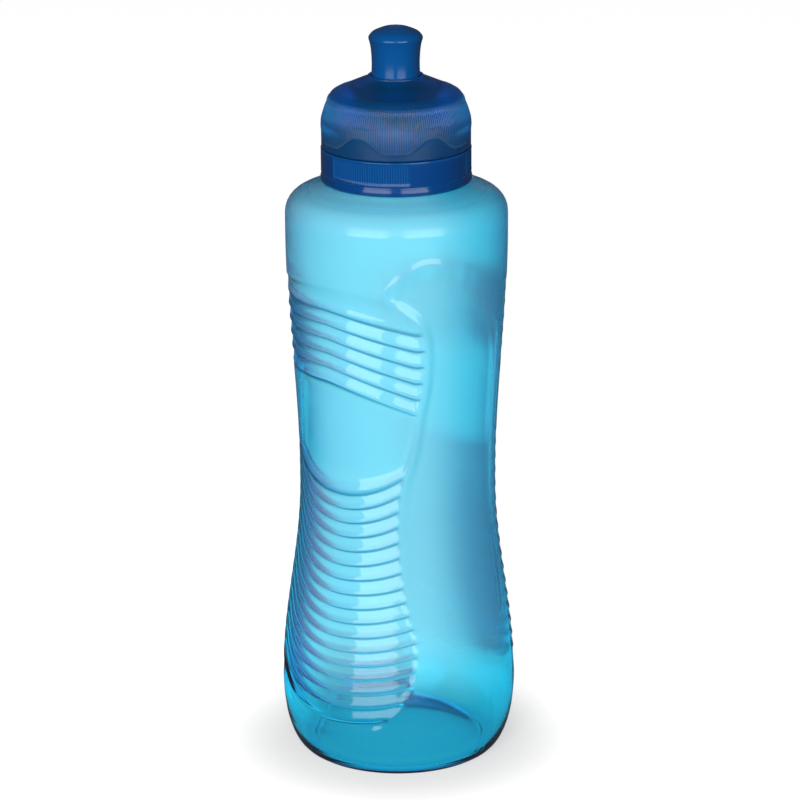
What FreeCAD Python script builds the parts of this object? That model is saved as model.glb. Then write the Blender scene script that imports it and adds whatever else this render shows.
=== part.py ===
import FreeCAD, Part
import math
import os

# Sports squeeze bottle: a waisted blow-moulded body, a screw cap, and a dome that is turned
# to raise the spout off its plug.
# Millimetres. The origin is the middle of the foot, and +Z is up.
# Azimuths are in degrees, seen from above, from the -Y side towards +X.

# Body: outside shape
BELLY_RADIUS = 41.7
BELLY_HEIGHT = 26.0
HEEL_WIDTH = 9.0
FOOT_WIDTH = 2.5
WAIST_RADIUS = 34.7
WAIST_LOW = 100.0
WAIST_HIGH = 104.0
SHOULDER_RADIUS = 38.6
SHOULDER_HEIGHT = 190.0
SHOULDER_STRAIGHT = 7.0
SHOULDER_ROUND = 8.0
SHOULDER_SLOPE = 14.0

# Body: walls and base
WALL = 1.2
FLOOR = 2.2
PUSH_UP_HEIGHT = 12.0
PUSH_UP_EDGE = 2.4

# Body: ridged panels and finger panels, one of each on the front and the same again on the back
RIDGE_PITCH = 5.1
RIDGE_DEPTH = 0.7
RIDGE_STEP = 0.6
RIDGE_SINK = 0.15
UPPER_RIDGE_TOP = 172.0
UPPER_RIDGE_BOTTOM = 141.0
LOWER_RIDGE_TOP = 106.0
LOWER_RIDGE_BOTTOM = 19.0
RIDGE_START = -60.0
RIDGE_END = 48.0
FINGER_DEPTH = 0.6
FINGER_START = 60.0
FINGER_END = 112.0
FINGER_BOTTOM = 74.0
FINGER_TOP = 182.0
PANEL_TURNS = (0.0, 180.0)

# Neck and its thread
NECK_RADIUS = 21.8
NECK_WALL = 2.0
NECK_HEIGHT = 11.1
THREAD_PITCH = 4.5
THREAD_DEPTH = 1.4
THREAD_ROOT_WIDTH = 1.6
THREAD_CREST_WIDTH = 0.8
THREAD_START = 2.2
THREAD_RIM_MARGIN = 2.6
CAP_THREAD_SHORTER = 0.2

# Screw cap
GASKET_THICKNESS = 1.5
GASKET_WIDTH = 3.2
CAP_WALL = 2.4
CAP_LIFT = 0.55
SKIRT_CLEARANCE = 0.4
BEAD_PROUD = 0.25
BEAD_HEIGHT = 3.4
RIB_SECTORS = 3
RIBS_PER_SECTOR = 32
RIB_PITCH = 2.0
RIB_DEPTH = 0.45
RIB_START = -14.0
RIB_MARGIN = 0.5
DECK = 2.0
SNAP_BEAD = 0.5
SNAP_BEAD_HEIGHT = 1.1
TURRET_WALL = 2.0
TURRET_MARGIN = 3.6

# Valve stem and its seal
PIN_RADIUS = 2.9
FLOW_GAP = 1.1
STEM_WALL = 2.0
STEM_FLANGE_WIDTH = 4.0
STEM_FLANGE = 1.4
WINDOW_HEIGHT = 9.4
WEB_COUNT = 3
WEB_THICKNESS = 1.2
WEB_HEIGHT = 12.0
SEAL_SECTION = 0.65
SEAL_DROP = 6.0
SEAL_GAP = 0.1

# Spout
SPOUT_WALL = 2.0
SPOUT_NECKING = 0.2
SPOUT_LIP_PROUD = 0.8
SPOUT_REACH = 17.2
SPOUT_LIP_HEIGHT = 3.6
SPOUT_FLARE = 5.5
SPOUT_CROWN = 3.2
LUG_RADIUS = 1.9
LUG_LIFT = 7.0
LUG_MARGIN = 1.1
PLUG_CLEARANCE = 0.25

# Dome and cam sleeve
DOME_PROUD = 0.05
DOME_WALL = 1.45
DOME_GAP = 0.2
DOME_TAPER_RISE = 8.0
DOME_TAPER_IN = 2.35
DOME_EDGE_RISE = 2.5
DOME_EDGE_IN = 1.4
ROOF_RISE = 5.4
ROOF_OVER_SEAT = 3.9
COLLAR_WALL = 0.9
COLLAR_LIP = 0.7
SLEEVE_WALL = 2.5
SEAT_GAP = 1.4
SOCKET_WALL = 1.5
SOCKET_DEPTH = 4.5
CAM_RISE = 4.5
CAM_TURN = 90.0
CAM_END_RELIEF = 0.2

# Clearances between pieces
RUNNING_GAP = 0.4
GUIDE_CLEARANCE = 0.3
FIT_GAP = 0.05

# How finely the formulas for the wall are sampled, and how far joined solids run into each other
CURVE_POINTS = 9
OVERLAP = 0.3

# Body and neck sizes that follow from the ones above
FOOT_RADIUS = BELLY_RADIUS - HEEL_WIDTH
SHOULDER_ARC_HEIGHT = SHOULDER_HEIGHT + SHOULDER_STRAIGHT
SHOULDER_ARC_RADIUS = SHOULDER_RADIUS - SHOULDER_ROUND
SLOPE = math.radians(SHOULDER_SLOPE)
SLOPE_WIDTH = SHOULDER_ARC_RADIUS + SHOULDER_ROUND * math.sin(SLOPE) - NECK_RADIUS
NECK_BASE = SHOULDER_ARC_HEIGHT + SHOULDER_ROUND * math.cos(SLOPE) + SLOPE_WIDTH * math.tan(SLOPE)
RIM = NECK_BASE + NECK_HEIGHT
THREAD_BASE = NECK_BASE + THREAD_START
THREAD_TURNS = (NECK_HEIGHT - THREAD_START - THREAD_RIM_MARGIN) / THREAD_PITCH
THREAD_CREST = NECK_RADIUS + THREAD_DEPTH

# Cap sizes that follow, from the neck outwards and upwards
SKIRT_BORE = THREAD_CREST + SKIRT_CLEARANCE
CAP_THREAD_CREST = NECK_RADIUS + SKIRT_CLEARANCE
CAP_RADIUS = SKIRT_BORE + CAP_WALL
CAP_BOTTOM = NECK_BASE + CAP_LIFT
DECK_UNDERSIDE = RIM + GASKET_THICKNESS
DECK_TOP = DECK_UNDERSIDE + DECK
RING_TOP = DECK_UNDERSIDE + FIT_GAP
SNAP_HEIGHT = RING_TOP + SNAP_BEAD_HEIGHT
DOME_RADIUS = CAP_RADIUS + DOME_PROUD
DOME_BORE = DOME_RADIUS - DOME_WALL
DOME_BOTTOM = RING_TOP + DOME_GAP
SNAP_RIM_RADIUS = DOME_BORE - GUIDE_CLEARANCE

# Valve and drive sizes that follow, from the plug pin outwards
STEM_BORE = PIN_RADIUS + FLOW_GAP
STEM_RADIUS = STEM_BORE + STEM_WALL
SPOUT_BORE = STEM_RADIUS + RUNNING_GAP
SPOUT_FOOT_RADIUS = SPOUT_BORE + SPOUT_WALL
SPOUT_RADIUS = SPOUT_FOOT_RADIUS - SPOUT_NECKING
SPOUT_LIP_RADIUS = SPOUT_FOOT_RADIUS + SPOUT_LIP_PROUD
SEAL_GROOVE = SPOUT_BORE - SEAL_GAP - 2.0 * SEAL_SECTION
TURRET_BORE = SPOUT_FOOT_RADIUS + GUIDE_CLEARANCE
TURRET_RADIUS = TURRET_BORE + TURRET_WALL
SLEEVE_BORE = TURRET_RADIUS + RUNNING_GAP
SLEEVE_RADIUS = SLEEVE_BORE + SLEEVE_WALL
SOCKET_BORE = SLEEVE_RADIUS + FIT_GAP
LUG_REACH = SLEEVE_RADIUS - RUNNING_GAP
SLOT_HALF = LUG_RADIUS + GUIDE_CLEARANCE

# Heights that follow, from the deck up
LUG_HEIGHT = DECK_TOP + LUG_LIFT
SPOUT_BOTTOM = LUG_HEIGHT - LUG_RADIUS - LUG_MARGIN
TURRET_TOP = LUG_HEIGHT + CAM_RISE + LUG_RADIUS + TURRET_MARGIN
SLEEVE_BOTTOM = DECK_TOP + RUNNING_GAP
SLEEVE_SEAT = TURRET_TOP + SEAT_GAP
COLLAR_HEIGHT = SLEEVE_SEAT + ROOF_OVER_SEAT
DOME_EDGE_HEIGHT = COLLAR_HEIGHT - ROOF_RISE
DOME_TAPER_HEIGHT = DOME_EDGE_HEIGHT - DOME_EDGE_RISE
DOME_CREASE_HEIGHT = DOME_TAPER_HEIGHT - DOME_TAPER_RISE
DOME_TAPER_RADIUS = DOME_RADIUS - DOME_TAPER_IN
DOME_EDGE_RADIUS = DOME_TAPER_RADIUS - DOME_EDGE_IN
COLLAR_HOLE = SPOUT_FOOT_RADIUS + GUIDE_CLEARANCE
COLLAR_RADIUS = COLLAR_HOLE + COLLAR_WALL
SPOUT_TOP = COLLAR_HEIGHT + SPOUT_REACH
CROWN_INSIDE = SPOUT_TOP - SPOUT_CROWN
STEM_TOP = CROWN_INSIDE - WINDOW_HEIGHT
SEAL_HEIGHT = STEM_TOP - SEAL_DROP

ORIGIN = FreeCAD.Vector(0, 0, 0)
UP = FreeCAD.Vector(0, 0, 1)
OUTWARD = FreeCAD.Vector(1, 0, 0)


def at(radius, height):
    """A point of an outline, in the half plane that is turned about the axis."""
    return FreeCAD.Vector(radius, 0, height)


def turned(shape, azimuth):
    """A copy of a shape turned about the axis by an azimuth."""
    copy = shape.copy()
    copy.rotate(ORIGIN, UP, azimuth)
    return copy


def facing(shape, azimuth):
    """A copy of a shape made along +X, turned to face an azimuth."""
    return turned(shape, azimuth - 90.0)


def polyline(points):
    """The straight edges through a list of (radius, height) points."""
    places = [at(radius, height) for radius, height in points]
    return [Part.makeLine(start, end) for start, end in zip(places, places[1:])]


def curve(points):
    """One smooth edge through a list of (radius, height) points."""
    spline = Part.BSplineCurve()
    spline.interpolate([at(radius, height) for radius, height in points])
    return spline.toShape()


def revolve_edges(edges, sweep=360.0):
    """The solid that a closed outline of edges makes when it is turned about the axis."""
    face = Part.Face(Part.Wire(Part.__sortEdges__(edges)))
    return face.revolve(ORIGIN, UP, sweep)


def revolve(points, sweep=360.0):
    """The solid that a closed outline of (radius, height) points makes."""
    return revolve_edges(polyline(points + points[:1]), sweep)


def tube(bore, radius, bottom, top):
    """A plain ring or tube about the axis."""
    return revolve([(bore, bottom), (radius, bottom), (radius, top), (bore, top)])


def blend(start, end, share):
    """A value that goes smoothly from start to end as share goes from 0 to 1."""
    return start + (end - start) * (1.0 - math.cos(math.pi * share)) / 2.0


def steps(start, end, count):
    """Evenly spaced values from start to end, both included."""
    return [start + (end - start) * index / (count - 1) for index in range(count)]


def wall_radius(height, wall=0.0, floor=0.0):
    """The body's radius at a height: outside, or inside when its wall and floor are given."""
    if height < BELLY_HEIGHT:
        drop = (BELLY_HEIGHT - height) / (BELLY_HEIGHT - floor)
        width = BELLY_RADIUS - FOOT_RADIUS - wall
        return FOOT_RADIUS + width * math.sqrt(max(0.0, 1.0 - drop * drop))
    if height < WAIST_LOW:
        share = (height - BELLY_HEIGHT) / (WAIST_LOW - BELLY_HEIGHT)
        return blend(BELLY_RADIUS, WAIST_RADIUS, share) - wall
    if height < WAIST_HIGH:
        return WAIST_RADIUS - wall
    share = (height - WAIST_HIGH) / (SHOULDER_HEIGHT - WAIST_HIGH)
    return blend(WAIST_RADIUS, SHOULDER_RADIUS, share) - wall


def heel_points(wall, floor):
    """The quarter ellipse from the foot up to the belly."""
    width = BELLY_RADIUS - FOOT_RADIUS - wall
    depth = BELLY_HEIGHT - floor
    angles = [math.radians(angle) for angle in steps(0.0, 90.0, CURVE_POINTS)]
    return [(FOOT_RADIUS + width * math.sin(a), BELLY_HEIGHT - depth * math.cos(a)) for a in angles]


def side_edges(wall, floor):
    """The edges of the wall from the foot to the sloping shoulder, outside or inside."""
    lower = heel_points(wall, floor)
    lower += [(wall_radius(z, wall), z) for z in steps(BELLY_HEIGHT, WAIST_LOW, CURVE_POINTS)[1:]]
    upper = [(wall_radius(z, wall), z) for z in steps(WAIST_HIGH, SHOULDER_HEIGHT, CURVE_POINTS)]
    radius = SHOULDER_ROUND - wall
    middle = (math.pi / 2.0 - SLOPE) / 2.0
    arc_start = at(SHOULDER_ARC_RADIUS + radius, SHOULDER_ARC_HEIGHT)
    arc_middle = at(
        SHOULDER_ARC_RADIUS + radius * math.cos(middle),
        SHOULDER_ARC_HEIGHT + radius * math.sin(middle),
    )
    arc_end = at(
        SHOULDER_ARC_RADIUS + radius * math.sin(SLOPE),
        SHOULDER_ARC_HEIGHT + radius * math.cos(SLOPE),
    )
    return [
        curve(lower),
        Part.makeLine(at(*lower[-1]), at(*upper[0])),
        curve(upper),
        Part.makeLine(at(*upper[-1]), arc_start),
        Part.Arc(arc_start, arc_middle, arc_end).toShape(),
    ], arc_end


def dome_arc(edge_radius, edge_height, top_height):
    """The arc of the pushed-up base, from its edge to the axis."""
    rise = top_height - edge_height
    sphere = (edge_radius * edge_radius + rise * rise) / (2.0 * rise)
    half = edge_radius / 2.0
    half_height = top_height - sphere + math.sqrt(sphere * sphere - half * half)
    return Part.Arc(at(edge_radius, edge_height), at(half, half_height), at(0, top_height)).toShape()


def smooth_shell():
    """The body's shell before its panels and thread."""
    outer, outer_end = side_edges(0.0, 0.0)
    inner, inner_end = side_edges(WALL, FLOOR)
    bore = NECK_RADIUS - NECK_WALL
    bore_base = inner_end.z + (inner_end.x - bore) * math.tan(SLOPE)
    neck = polyline(
        [
            (outer_end.x, outer_end.z),
            (NECK_RADIUS, NECK_BASE),
            (NECK_RADIUS, RIM),
            (bore, RIM),
            (bore, bore_base),
            (inner_end.x, inner_end.z),
        ]
    )
    foot_inside = FOOT_RADIUS - FOOT_WIDTH
    edge = foot_inside - PUSH_UP_EDGE
    under = polyline([(FOOT_RADIUS, 0.0), (foot_inside, 0.0), (edge, PUSH_UP_EDGE)])
    over = polyline(
        [(FOOT_RADIUS, FLOOR), (foot_inside + WALL / 2.0, FLOOR), (edge + WALL / 2.0, PUSH_UP_EDGE + FLOOR)]
    )
    lower_dome = dome_arc(edge, PUSH_UP_EDGE, PUSH_UP_HEIGHT)
    upper_dome = dome_arc(edge + WALL / 2.0, PUSH_UP_EDGE + FLOOR, PUSH_UP_HEIGHT + FLOOR)
    axis = [Part.makeLine(at(0, PUSH_UP_HEIGHT), at(0, PUSH_UP_HEIGHT + FLOOR))]
    return revolve_edges(outer + neck + inner + over + [upper_dome] + axis + [lower_dome] + under)


def ridge_count(top, bottom):
    """How many whole ridges fit between two heights."""
    return int((top - bottom) / RIDGE_PITCH)


def ridge_points(top, bottom, wall, floor):
    """The saw-toothed line of a ridged panel, from its top down."""
    points = [(wall_radius(top, wall, floor) - RIDGE_SINK, top)]
    for index in range(ridge_count(top, bottom)):
        height = top - index * RIDGE_PITCH
        notch = height - RIDGE_STEP
        foot = height - RIDGE_PITCH
        points.append((wall_radius(notch, wall, floor) - RIDGE_SINK - RIDGE_DEPTH, notch))
        points.append((wall_radius(foot, wall, floor) - RIDGE_SINK, foot))
    return points


def ridge_panel(top, bottom):
    """One ridged stretch of wall."""
    outside = ridge_points(top, bottom, 0.0, 0.0)
    inside = ridge_points(top, bottom, WALL, FLOOR)
    return revolve(outside + inside[::-1], RIDGE_END - RIDGE_START)


def finger_panel():
    """One sunken stretch of wall for the fingers."""
    levels = steps(FINGER_BOTTOM, FINGER_TOP, 2 * CURVE_POINTS)
    outside = [(wall_radius(z) - FINGER_DEPTH, z) for z in levels]
    inside = [(wall_radius(z, WALL) - FINGER_DEPTH, z) for z in levels]
    edges = [curve(outside), curve(inside)]
    edges += [Part.makeLine(at(*outside[end]), at(*inside[end])) for end in (0, -1)]
    return revolve_edges(edges, FINGER_END - FINGER_START)


def panel_room(bottom, top, sweep):
    """The block that is cleared from the shell before a panel goes in."""
    inside = WAIST_RADIUS / 2.0
    outside = 2.0 * BELLY_RADIUS
    return revolve([(inside, bottom), (outside, bottom), (outside, top), (inside, top)], sweep)


def thread(from_radius, to_radius, start_height, turns):
    """A helical ridge from a wall at from_radius to its crest at to_radius."""
    root = THREAD_ROOT_WIDTH / 2.0
    crest = THREAD_CREST_WIDTH / 2.0
    buried = from_radius - math.copysign(OVERLAP, to_radius - from_radius)
    corners = [at(buried, -root), at(to_radius, -crest), at(to_radius, crest), at(buried, root)]
    profile = Part.makePolygon(corners + corners[:1])
    helix = Part.makeHelix(THREAD_PITCH, THREAD_PITCH * turns, from_radius)
    ridge = Part.Wire(helix.Edges).makePipeShell([profile], True, True)
    ridge.translate(FreeCAD.Vector(0, 0, start_height))
    return ridge


def bottle_body():
    """The squeeze shell with its panels, base and threaded neck."""
    shell = smooth_shell()
    ridge_sweep = RIDGE_END - RIDGE_START
    finger_sweep = FINGER_END - FINGER_START
    panels = [(finger_panel(), FINGER_BOTTOM, FINGER_TOP, FINGER_START, finger_sweep)]
    for top, limit in ((UPPER_RIDGE_TOP, UPPER_RIDGE_BOTTOM), (LOWER_RIDGE_TOP, LOWER_RIDGE_BOTTOM)):
        bottom = top - ridge_count(top, limit) * RIDGE_PITCH
        panels.append((ridge_panel(top, limit), bottom, top, RIDGE_START, ridge_sweep))
    for turn in PANEL_TURNS:
        for panel, bottom, top, start, sweep in panels:
            shell = shell.cut(facing(panel_room(bottom, top, sweep), start + turn))
            shell = shell.fuse(facing(panel, start + turn))
    return shell.fuse(thread(NECK_RADIUS, THREAD_CREST, THREAD_BASE, THREAD_TURNS))


def neck_gasket():
    """The flat ring between the rim and the deck."""
    outside = SKIRT_BORE - RUNNING_GAP
    return tube(outside - GASKET_WIDTH, outside, RIM, DECK_UNDERSIDE)


def rib_band(bottom, top):
    """The grooves between the ribs of the screw cap, as one tool for each groove."""
    tools = []
    half = math.radians(RIB_PITCH / 4.0)
    valley = CAP_RADIUS - RIB_DEPTH
    mouth = CAP_RADIUS + OVERLAP
    corners = [
        FreeCAD.Vector(mouth * math.cos(2.0 * half), -mouth * math.sin(2.0 * half), bottom),
        FreeCAD.Vector(valley, 0, bottom),
        FreeCAD.Vector(mouth * math.cos(2.0 * half), mouth * math.sin(2.0 * half), bottom),
    ]
    groove = Part.Face(Part.makePolygon(corners + corners[:1])).extrude(UP * (top - bottom))
    for sector in range(RIB_SECTORS):
        first = RIB_START + sector * 360.0 / RIB_SECTORS
        tools += [facing(groove, first + index * RIB_PITCH) for index in range(RIBS_PER_SECTOR)]
    return tools


def screw_cap():
    """The closure: ribbed skirt, thread, deck with the snap bead, and the guide turret."""
    bead_radius = CAP_RADIUS + BEAD_PROUD
    bead_top = CAP_BOTTOM + BEAD_HEIGHT
    skirt = revolve(
        [
            (SKIRT_BORE, CAP_BOTTOM),
            (bead_radius - BEAD_PROUD, CAP_BOTTOM),
            (bead_radius, CAP_BOTTOM + BEAD_PROUD),
            (bead_radius, bead_top - BEAD_PROUD),
            (CAP_RADIUS, bead_top),
            (CAP_RADIUS, RING_TOP),
            (SNAP_RIM_RADIUS, RING_TOP),
            (SNAP_RIM_RADIUS, DECK_TOP),
            (STEM_RADIUS + FIT_GAP, DECK_TOP),
            (STEM_RADIUS + FIT_GAP, DECK_UNDERSIDE),
            (SKIRT_BORE, DECK_UNDERSIDE),
        ]
    )
    for groove in rib_band(bead_top + RIB_MARGIN, RING_TOP - RIB_MARGIN):
        skirt = skirt.cut(groove)
    bead = Part.makeTorus(SNAP_RIM_RADIUS, SNAP_BEAD, at(0, SNAP_HEIGHT))
    turret = tube(TURRET_BORE, TURRET_RADIUS, DECK_TOP - OVERLAP, TURRET_TOP)
    slot_bottom = LUG_HEIGHT - SLOT_HALF
    slot_length = 2.0 * (TURRET_RADIUS + OVERLAP)
    slot = Part.makeBox(
        slot_length,
        2.0 * SLOT_HALF,
        TURRET_TOP - slot_bottom + OVERLAP,
        FreeCAD.Vector(-slot_length / 2.0, -SLOT_HALF, slot_bottom),
    )
    inner_start = THREAD_BASE + THREAD_PITCH / 2.0
    inner_turns = THREAD_TURNS - CAP_THREAD_SHORTER
    inner_thread = thread(SKIRT_BORE, CAP_THREAD_CREST, inner_start, inner_turns)
    return skirt.fuse(bead).fuse(turret.cut(slot)).fuse(inner_thread)


def valve_stem():
    """The tube through the deck, with the plug pin on three webs."""
    pin_top = SPOUT_TOP - PLUG_CLEARANCE
    groove_bottom = SEAL_HEIGHT - SEAL_SECTION - PLUG_CLEARANCE
    groove_top = SEAL_HEIGHT + SEAL_SECTION + PLUG_CLEARANCE
    stem = revolve(
        [
            (STEM_BORE, DECK_UNDERSIDE - STEM_FLANGE),
            (STEM_RADIUS + STEM_FLANGE_WIDTH, DECK_UNDERSIDE - STEM_FLANGE),
            (STEM_RADIUS + STEM_FLANGE_WIDTH, DECK_UNDERSIDE),
            (STEM_RADIUS, DECK_UNDERSIDE),
            (STEM_RADIUS, groove_bottom),
            (SEAL_GROOVE, groove_bottom),
            (SEAL_GROOVE, groove_top),
            (STEM_RADIUS, groove_top),
            (STEM_RADIUS, STEM_TOP),
            (STEM_BORE, STEM_TOP),
        ]
    )
    pin = Part.makeCylinder(PIN_RADIUS, pin_top - STEM_TOP + WEB_HEIGHT, at(0, STEM_TOP - WEB_HEIGHT))
    web = Part.makeBox(
        STEM_BORE + OVERLAP,
        WEB_THICKNESS,
        WEB_HEIGHT,
        FreeCAD.Vector(0, -WEB_THICKNESS / 2.0, STEM_TOP - WEB_HEIGHT),
    )
    for index in range(WEB_COUNT):
        stem = stem.fuse(facing(web, index * 360.0 / WEB_COUNT))
    return stem.fuse(pin)


def stem_o_ring():
    """The seal in the stem's groove."""
    return Part.makeTorus(SEAL_GROOVE + SEAL_SECTION, SEAL_SECTION, at(0, SEAL_HEIGHT))


def cam_sleeve():
    """The insert in the dome, with a cam slot for each lug of the spout."""
    sleeve = tube(SLEEVE_BORE, SLEEVE_RADIUS, SLEEVE_BOTTOM, SLEEVE_SEAT)
    middle = (SLEEVE_BORE + SLEEVE_RADIUS) / 2.0
    inner = SLEEVE_BORE - RUNNING_GAP / 2.0
    outer = SLEEVE_RADIUS + RUNNING_GAP
    turns = CAM_TURN / 360.0
    climb = math.atan2(CAM_RISE, math.radians(CAM_TURN) * SLEEVE_BORE)
    half = SLOT_HALF / math.cos(climb)
    corners = [at(inner, -half), at(outer, -half), at(outer, half), at(inner, half)]
    profile = Part.makePolygon(corners + corners[:1])
    helix = Part.makeHelix(CAM_RISE / turns, CAM_RISE, middle)
    path = Part.Wire(helix.Edges).makePipeShell([profile], True, True)
    path.translate(at(0, LUG_HEIGHT))
    end_radius = half + CAM_END_RELIEF
    end_hole = Part.makeCylinder(end_radius, outer, at(0, LUG_HEIGHT), OUTWARD)
    top_hole = turned(end_hole, CAM_TURN)
    top_hole.translate(at(0, CAM_RISE))
    slot = path.fuse(end_hole).fuse(top_hole)
    slot = slot.mirror(ORIGIN, FreeCAD.Vector(0, 1, 0))
    for turn in PANEL_TURNS:
        sleeve = sleeve.cut(turned(slot, turn))
    return sleeve


def twist_dome():
    """The turning dome, with the socket for the cam sleeve and the groove for the snap bead."""
    shoulder_inside = DOME_EDGE_RADIUS - DOME_WALL / 2.0
    roof = math.atan2(COLLAR_HEIGHT - DOME_EDGE_HEIGHT, DOME_EDGE_RADIUS - COLLAR_RADIUS)
    roof_wall = DOME_WALL / math.cos(roof)
    socket_radius = SOCKET_BORE + SOCKET_WALL
    socket_top = COLLAR_HEIGHT - roof_wall - (socket_radius - COLLAR_RADIUS) * math.tan(roof)
    edge_inside = COLLAR_HEIGHT - roof_wall - (shoulder_inside - COLLAR_RADIUS) * math.tan(roof)
    shell = revolve(
        [
            (DOME_BORE, DOME_BOTTOM),
            (DOME_RADIUS, DOME_BOTTOM),
            (DOME_RADIUS, DOME_CREASE_HEIGHT),
            (DOME_TAPER_RADIUS, DOME_TAPER_HEIGHT),
            (DOME_EDGE_RADIUS, DOME_EDGE_HEIGHT),
            (COLLAR_RADIUS, COLLAR_HEIGHT),
            (COLLAR_RADIUS, COLLAR_HEIGHT + COLLAR_LIP),
            (COLLAR_HOLE, COLLAR_HEIGHT + COLLAR_LIP),
            (COLLAR_HOLE, SLEEVE_SEAT),
            (SOCKET_BORE, SLEEVE_SEAT),
            (SOCKET_BORE, SLEEVE_SEAT - SOCKET_DEPTH),
            (socket_radius, SLEEVE_SEAT - SOCKET_DEPTH),
            (socket_radius, socket_top),
            (shoulder_inside, edge_inside),
            (DOME_TAPER_RADIUS - DOME_WALL, DOME_TAPER_HEIGHT),
            (DOME_BORE, DOME_CREASE_HEIGHT),
        ]
    )
    return shell.cut(Part.makeTorus(SNAP_RIM_RADIUS, SNAP_BEAD + GUIDE_CLEARANCE, at(0, SNAP_HEIGHT)))


def spout():
    """The mouthpiece, with its flared lip, closed crown and two cam lugs."""
    lip = SPOUT_TOP - SPOUT_LIP_HEIGHT
    flare = lip - SPOUT_FLARE
    hole = PIN_RADIUS + PLUG_CLEARANCE
    outside = curve(
        [
            (SPOUT_FOOT_RADIUS, COLLAR_HEIGHT),
            (SPOUT_RADIUS, (COLLAR_HEIGHT + flare) / 2.0 + COLLAR_LIP),
            (SPOUT_RADIUS + (SPOUT_LIP_RADIUS - SPOUT_RADIUS) / 4.0, (flare + lip) / 2.0),
            (SPOUT_LIP_RADIUS, lip),
        ]
    )
    crown = curve(
        [
            (SPOUT_LIP_RADIUS, lip),
            (SPOUT_LIP_RADIUS - SPOUT_LIP_HEIGHT / 4.0, lip + SPOUT_LIP_HEIGHT / 2.0),
            (hole, SPOUT_TOP),
        ]
    )
    inside = polyline(
        [
            (hole, SPOUT_TOP),
            (hole, CROWN_INSIDE),
            (SPOUT_BORE, CROWN_INSIDE),
            (SPOUT_BORE, SPOUT_BOTTOM),
            (SPOUT_FOOT_RADIUS, SPOUT_BOTTOM),
            (SPOUT_FOOT_RADIUS, COLLAR_HEIGHT),
        ]
    )
    body = revolve_edges([outside, crown] + inside)
    lug_root = (SPOUT_BORE + SPOUT_FOOT_RADIUS) / 2.0
    lug_length = LUG_REACH - lug_root
    lug = Part.makeCylinder(LUG_RADIUS, lug_length, at(lug_root, LUG_HEIGHT), OUTWARD)
    for turn in PANEL_TURNS:
        body = body.fuse(turned(lug, turn))
    return body


NODES = {
    "bottle_body": bottle_body,
    "neck_gasket": neck_gasket,
    "screw_cap": screw_cap,
    "valve_stem": valve_stem,
    "stem_o_ring": stem_o_ring,
    "cam_sleeve": cam_sleeve,
    "twist_dome": twist_dome,
    "spout": spout,
}

os.makedirs("parts", exist_ok=True)
for name, make in NODES.items():
    piece = make()
    print(name, len(piece.Solids), piece.isValid(), round(piece.Volume, 1))
    piece.exportStep("parts/" + name + ".step")
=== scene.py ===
"""Sports squeeze bottle: the visual model.

The squeeze shell, the screw cap, the twist dome and the spout are built here and stand for their
solids. The valve stem, the cam sleeve and the seals keep their solids and get their finishes.
Outlines are in millimetres and become metres when a piece is made.
"""

import logging
import math
from dataclasses import dataclass
from enum import Enum
from typing import Callable, Sequence

import bmesh
import bpy
import numpy as np
from mathutils import Matrix, Vector


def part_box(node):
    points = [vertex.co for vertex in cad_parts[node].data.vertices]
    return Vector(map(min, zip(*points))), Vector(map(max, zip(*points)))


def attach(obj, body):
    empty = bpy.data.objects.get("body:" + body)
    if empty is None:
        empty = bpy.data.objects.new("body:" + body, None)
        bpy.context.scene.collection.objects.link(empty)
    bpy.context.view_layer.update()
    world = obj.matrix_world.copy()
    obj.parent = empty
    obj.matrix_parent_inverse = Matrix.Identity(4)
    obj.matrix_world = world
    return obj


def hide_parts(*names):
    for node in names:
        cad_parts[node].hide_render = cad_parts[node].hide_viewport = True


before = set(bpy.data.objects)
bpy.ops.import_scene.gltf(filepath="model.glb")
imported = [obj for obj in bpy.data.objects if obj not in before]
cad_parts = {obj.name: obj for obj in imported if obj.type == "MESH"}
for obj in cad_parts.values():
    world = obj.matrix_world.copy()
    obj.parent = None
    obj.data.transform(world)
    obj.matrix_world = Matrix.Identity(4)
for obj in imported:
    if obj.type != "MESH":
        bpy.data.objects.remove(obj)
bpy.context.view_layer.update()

LOG = logging.getLogger("squeeze_bottle")
MM = 0.001
HALF_TURN = 180.0
FULL_TURN = 360.0
THREAD_PITCH = 4.5
SLACK = 1e-6
OUTER_PHASES = (0.0, 0.10, 0.33, 0.58, 0.80, 0.90, 0.955, 1.0)

Point = tuple[float, float]
Colour = tuple[float, float, float]
Rule = Callable[[np.ndarray], np.ndarray]
Values = dict[str | int, float | tuple[float, ...]]
Joins = dict[str | int, bpy.types.NodeSocket]


class Wall(Enum):
    """The two sides of a thin moulding."""

    OUTSIDE = "outside"
    INSIDE = "inside"


def smooth_step(low: float, high: float, value: np.ndarray) -> np.ndarray:
    """Goes softly from 0 to 1 as value goes from low to high.

    Args:
        low: The value at which the step starts.
        high: The value at which it is complete; it may lie below low.
        value: The values to grade.

    Returns:
        The step at each value, from 0 to 1.
    """
    share = np.clip((value - low) / (high - low), 0.0, 1.0)
    return share * share * (3.0 - 2.0 * share)


def blend(start: float, end: float, share: np.ndarray) -> np.ndarray:
    """Half a cosine wave from start to end.

    Args:
        start: The value where share is 0.
        end: The value where share is 1.
        share: How far along the wave each value lies.

    Returns:
        The value at each share.
    """
    return start + (end - start) * (1.0 - np.cos(np.pi * np.clip(share, 0.0, 1.0))) / 2.0


def azimuth(places: np.ndarray) -> np.ndarray:
    """The azimuth of each place, in degrees from the front towards the right.

    Args:
        places: Places as rows of x, y and z.

    Returns:
        Azimuths from -180 to 180.
    """
    return np.degrees(np.arctan2(places[:, 0], -places[:, 1]))


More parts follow.
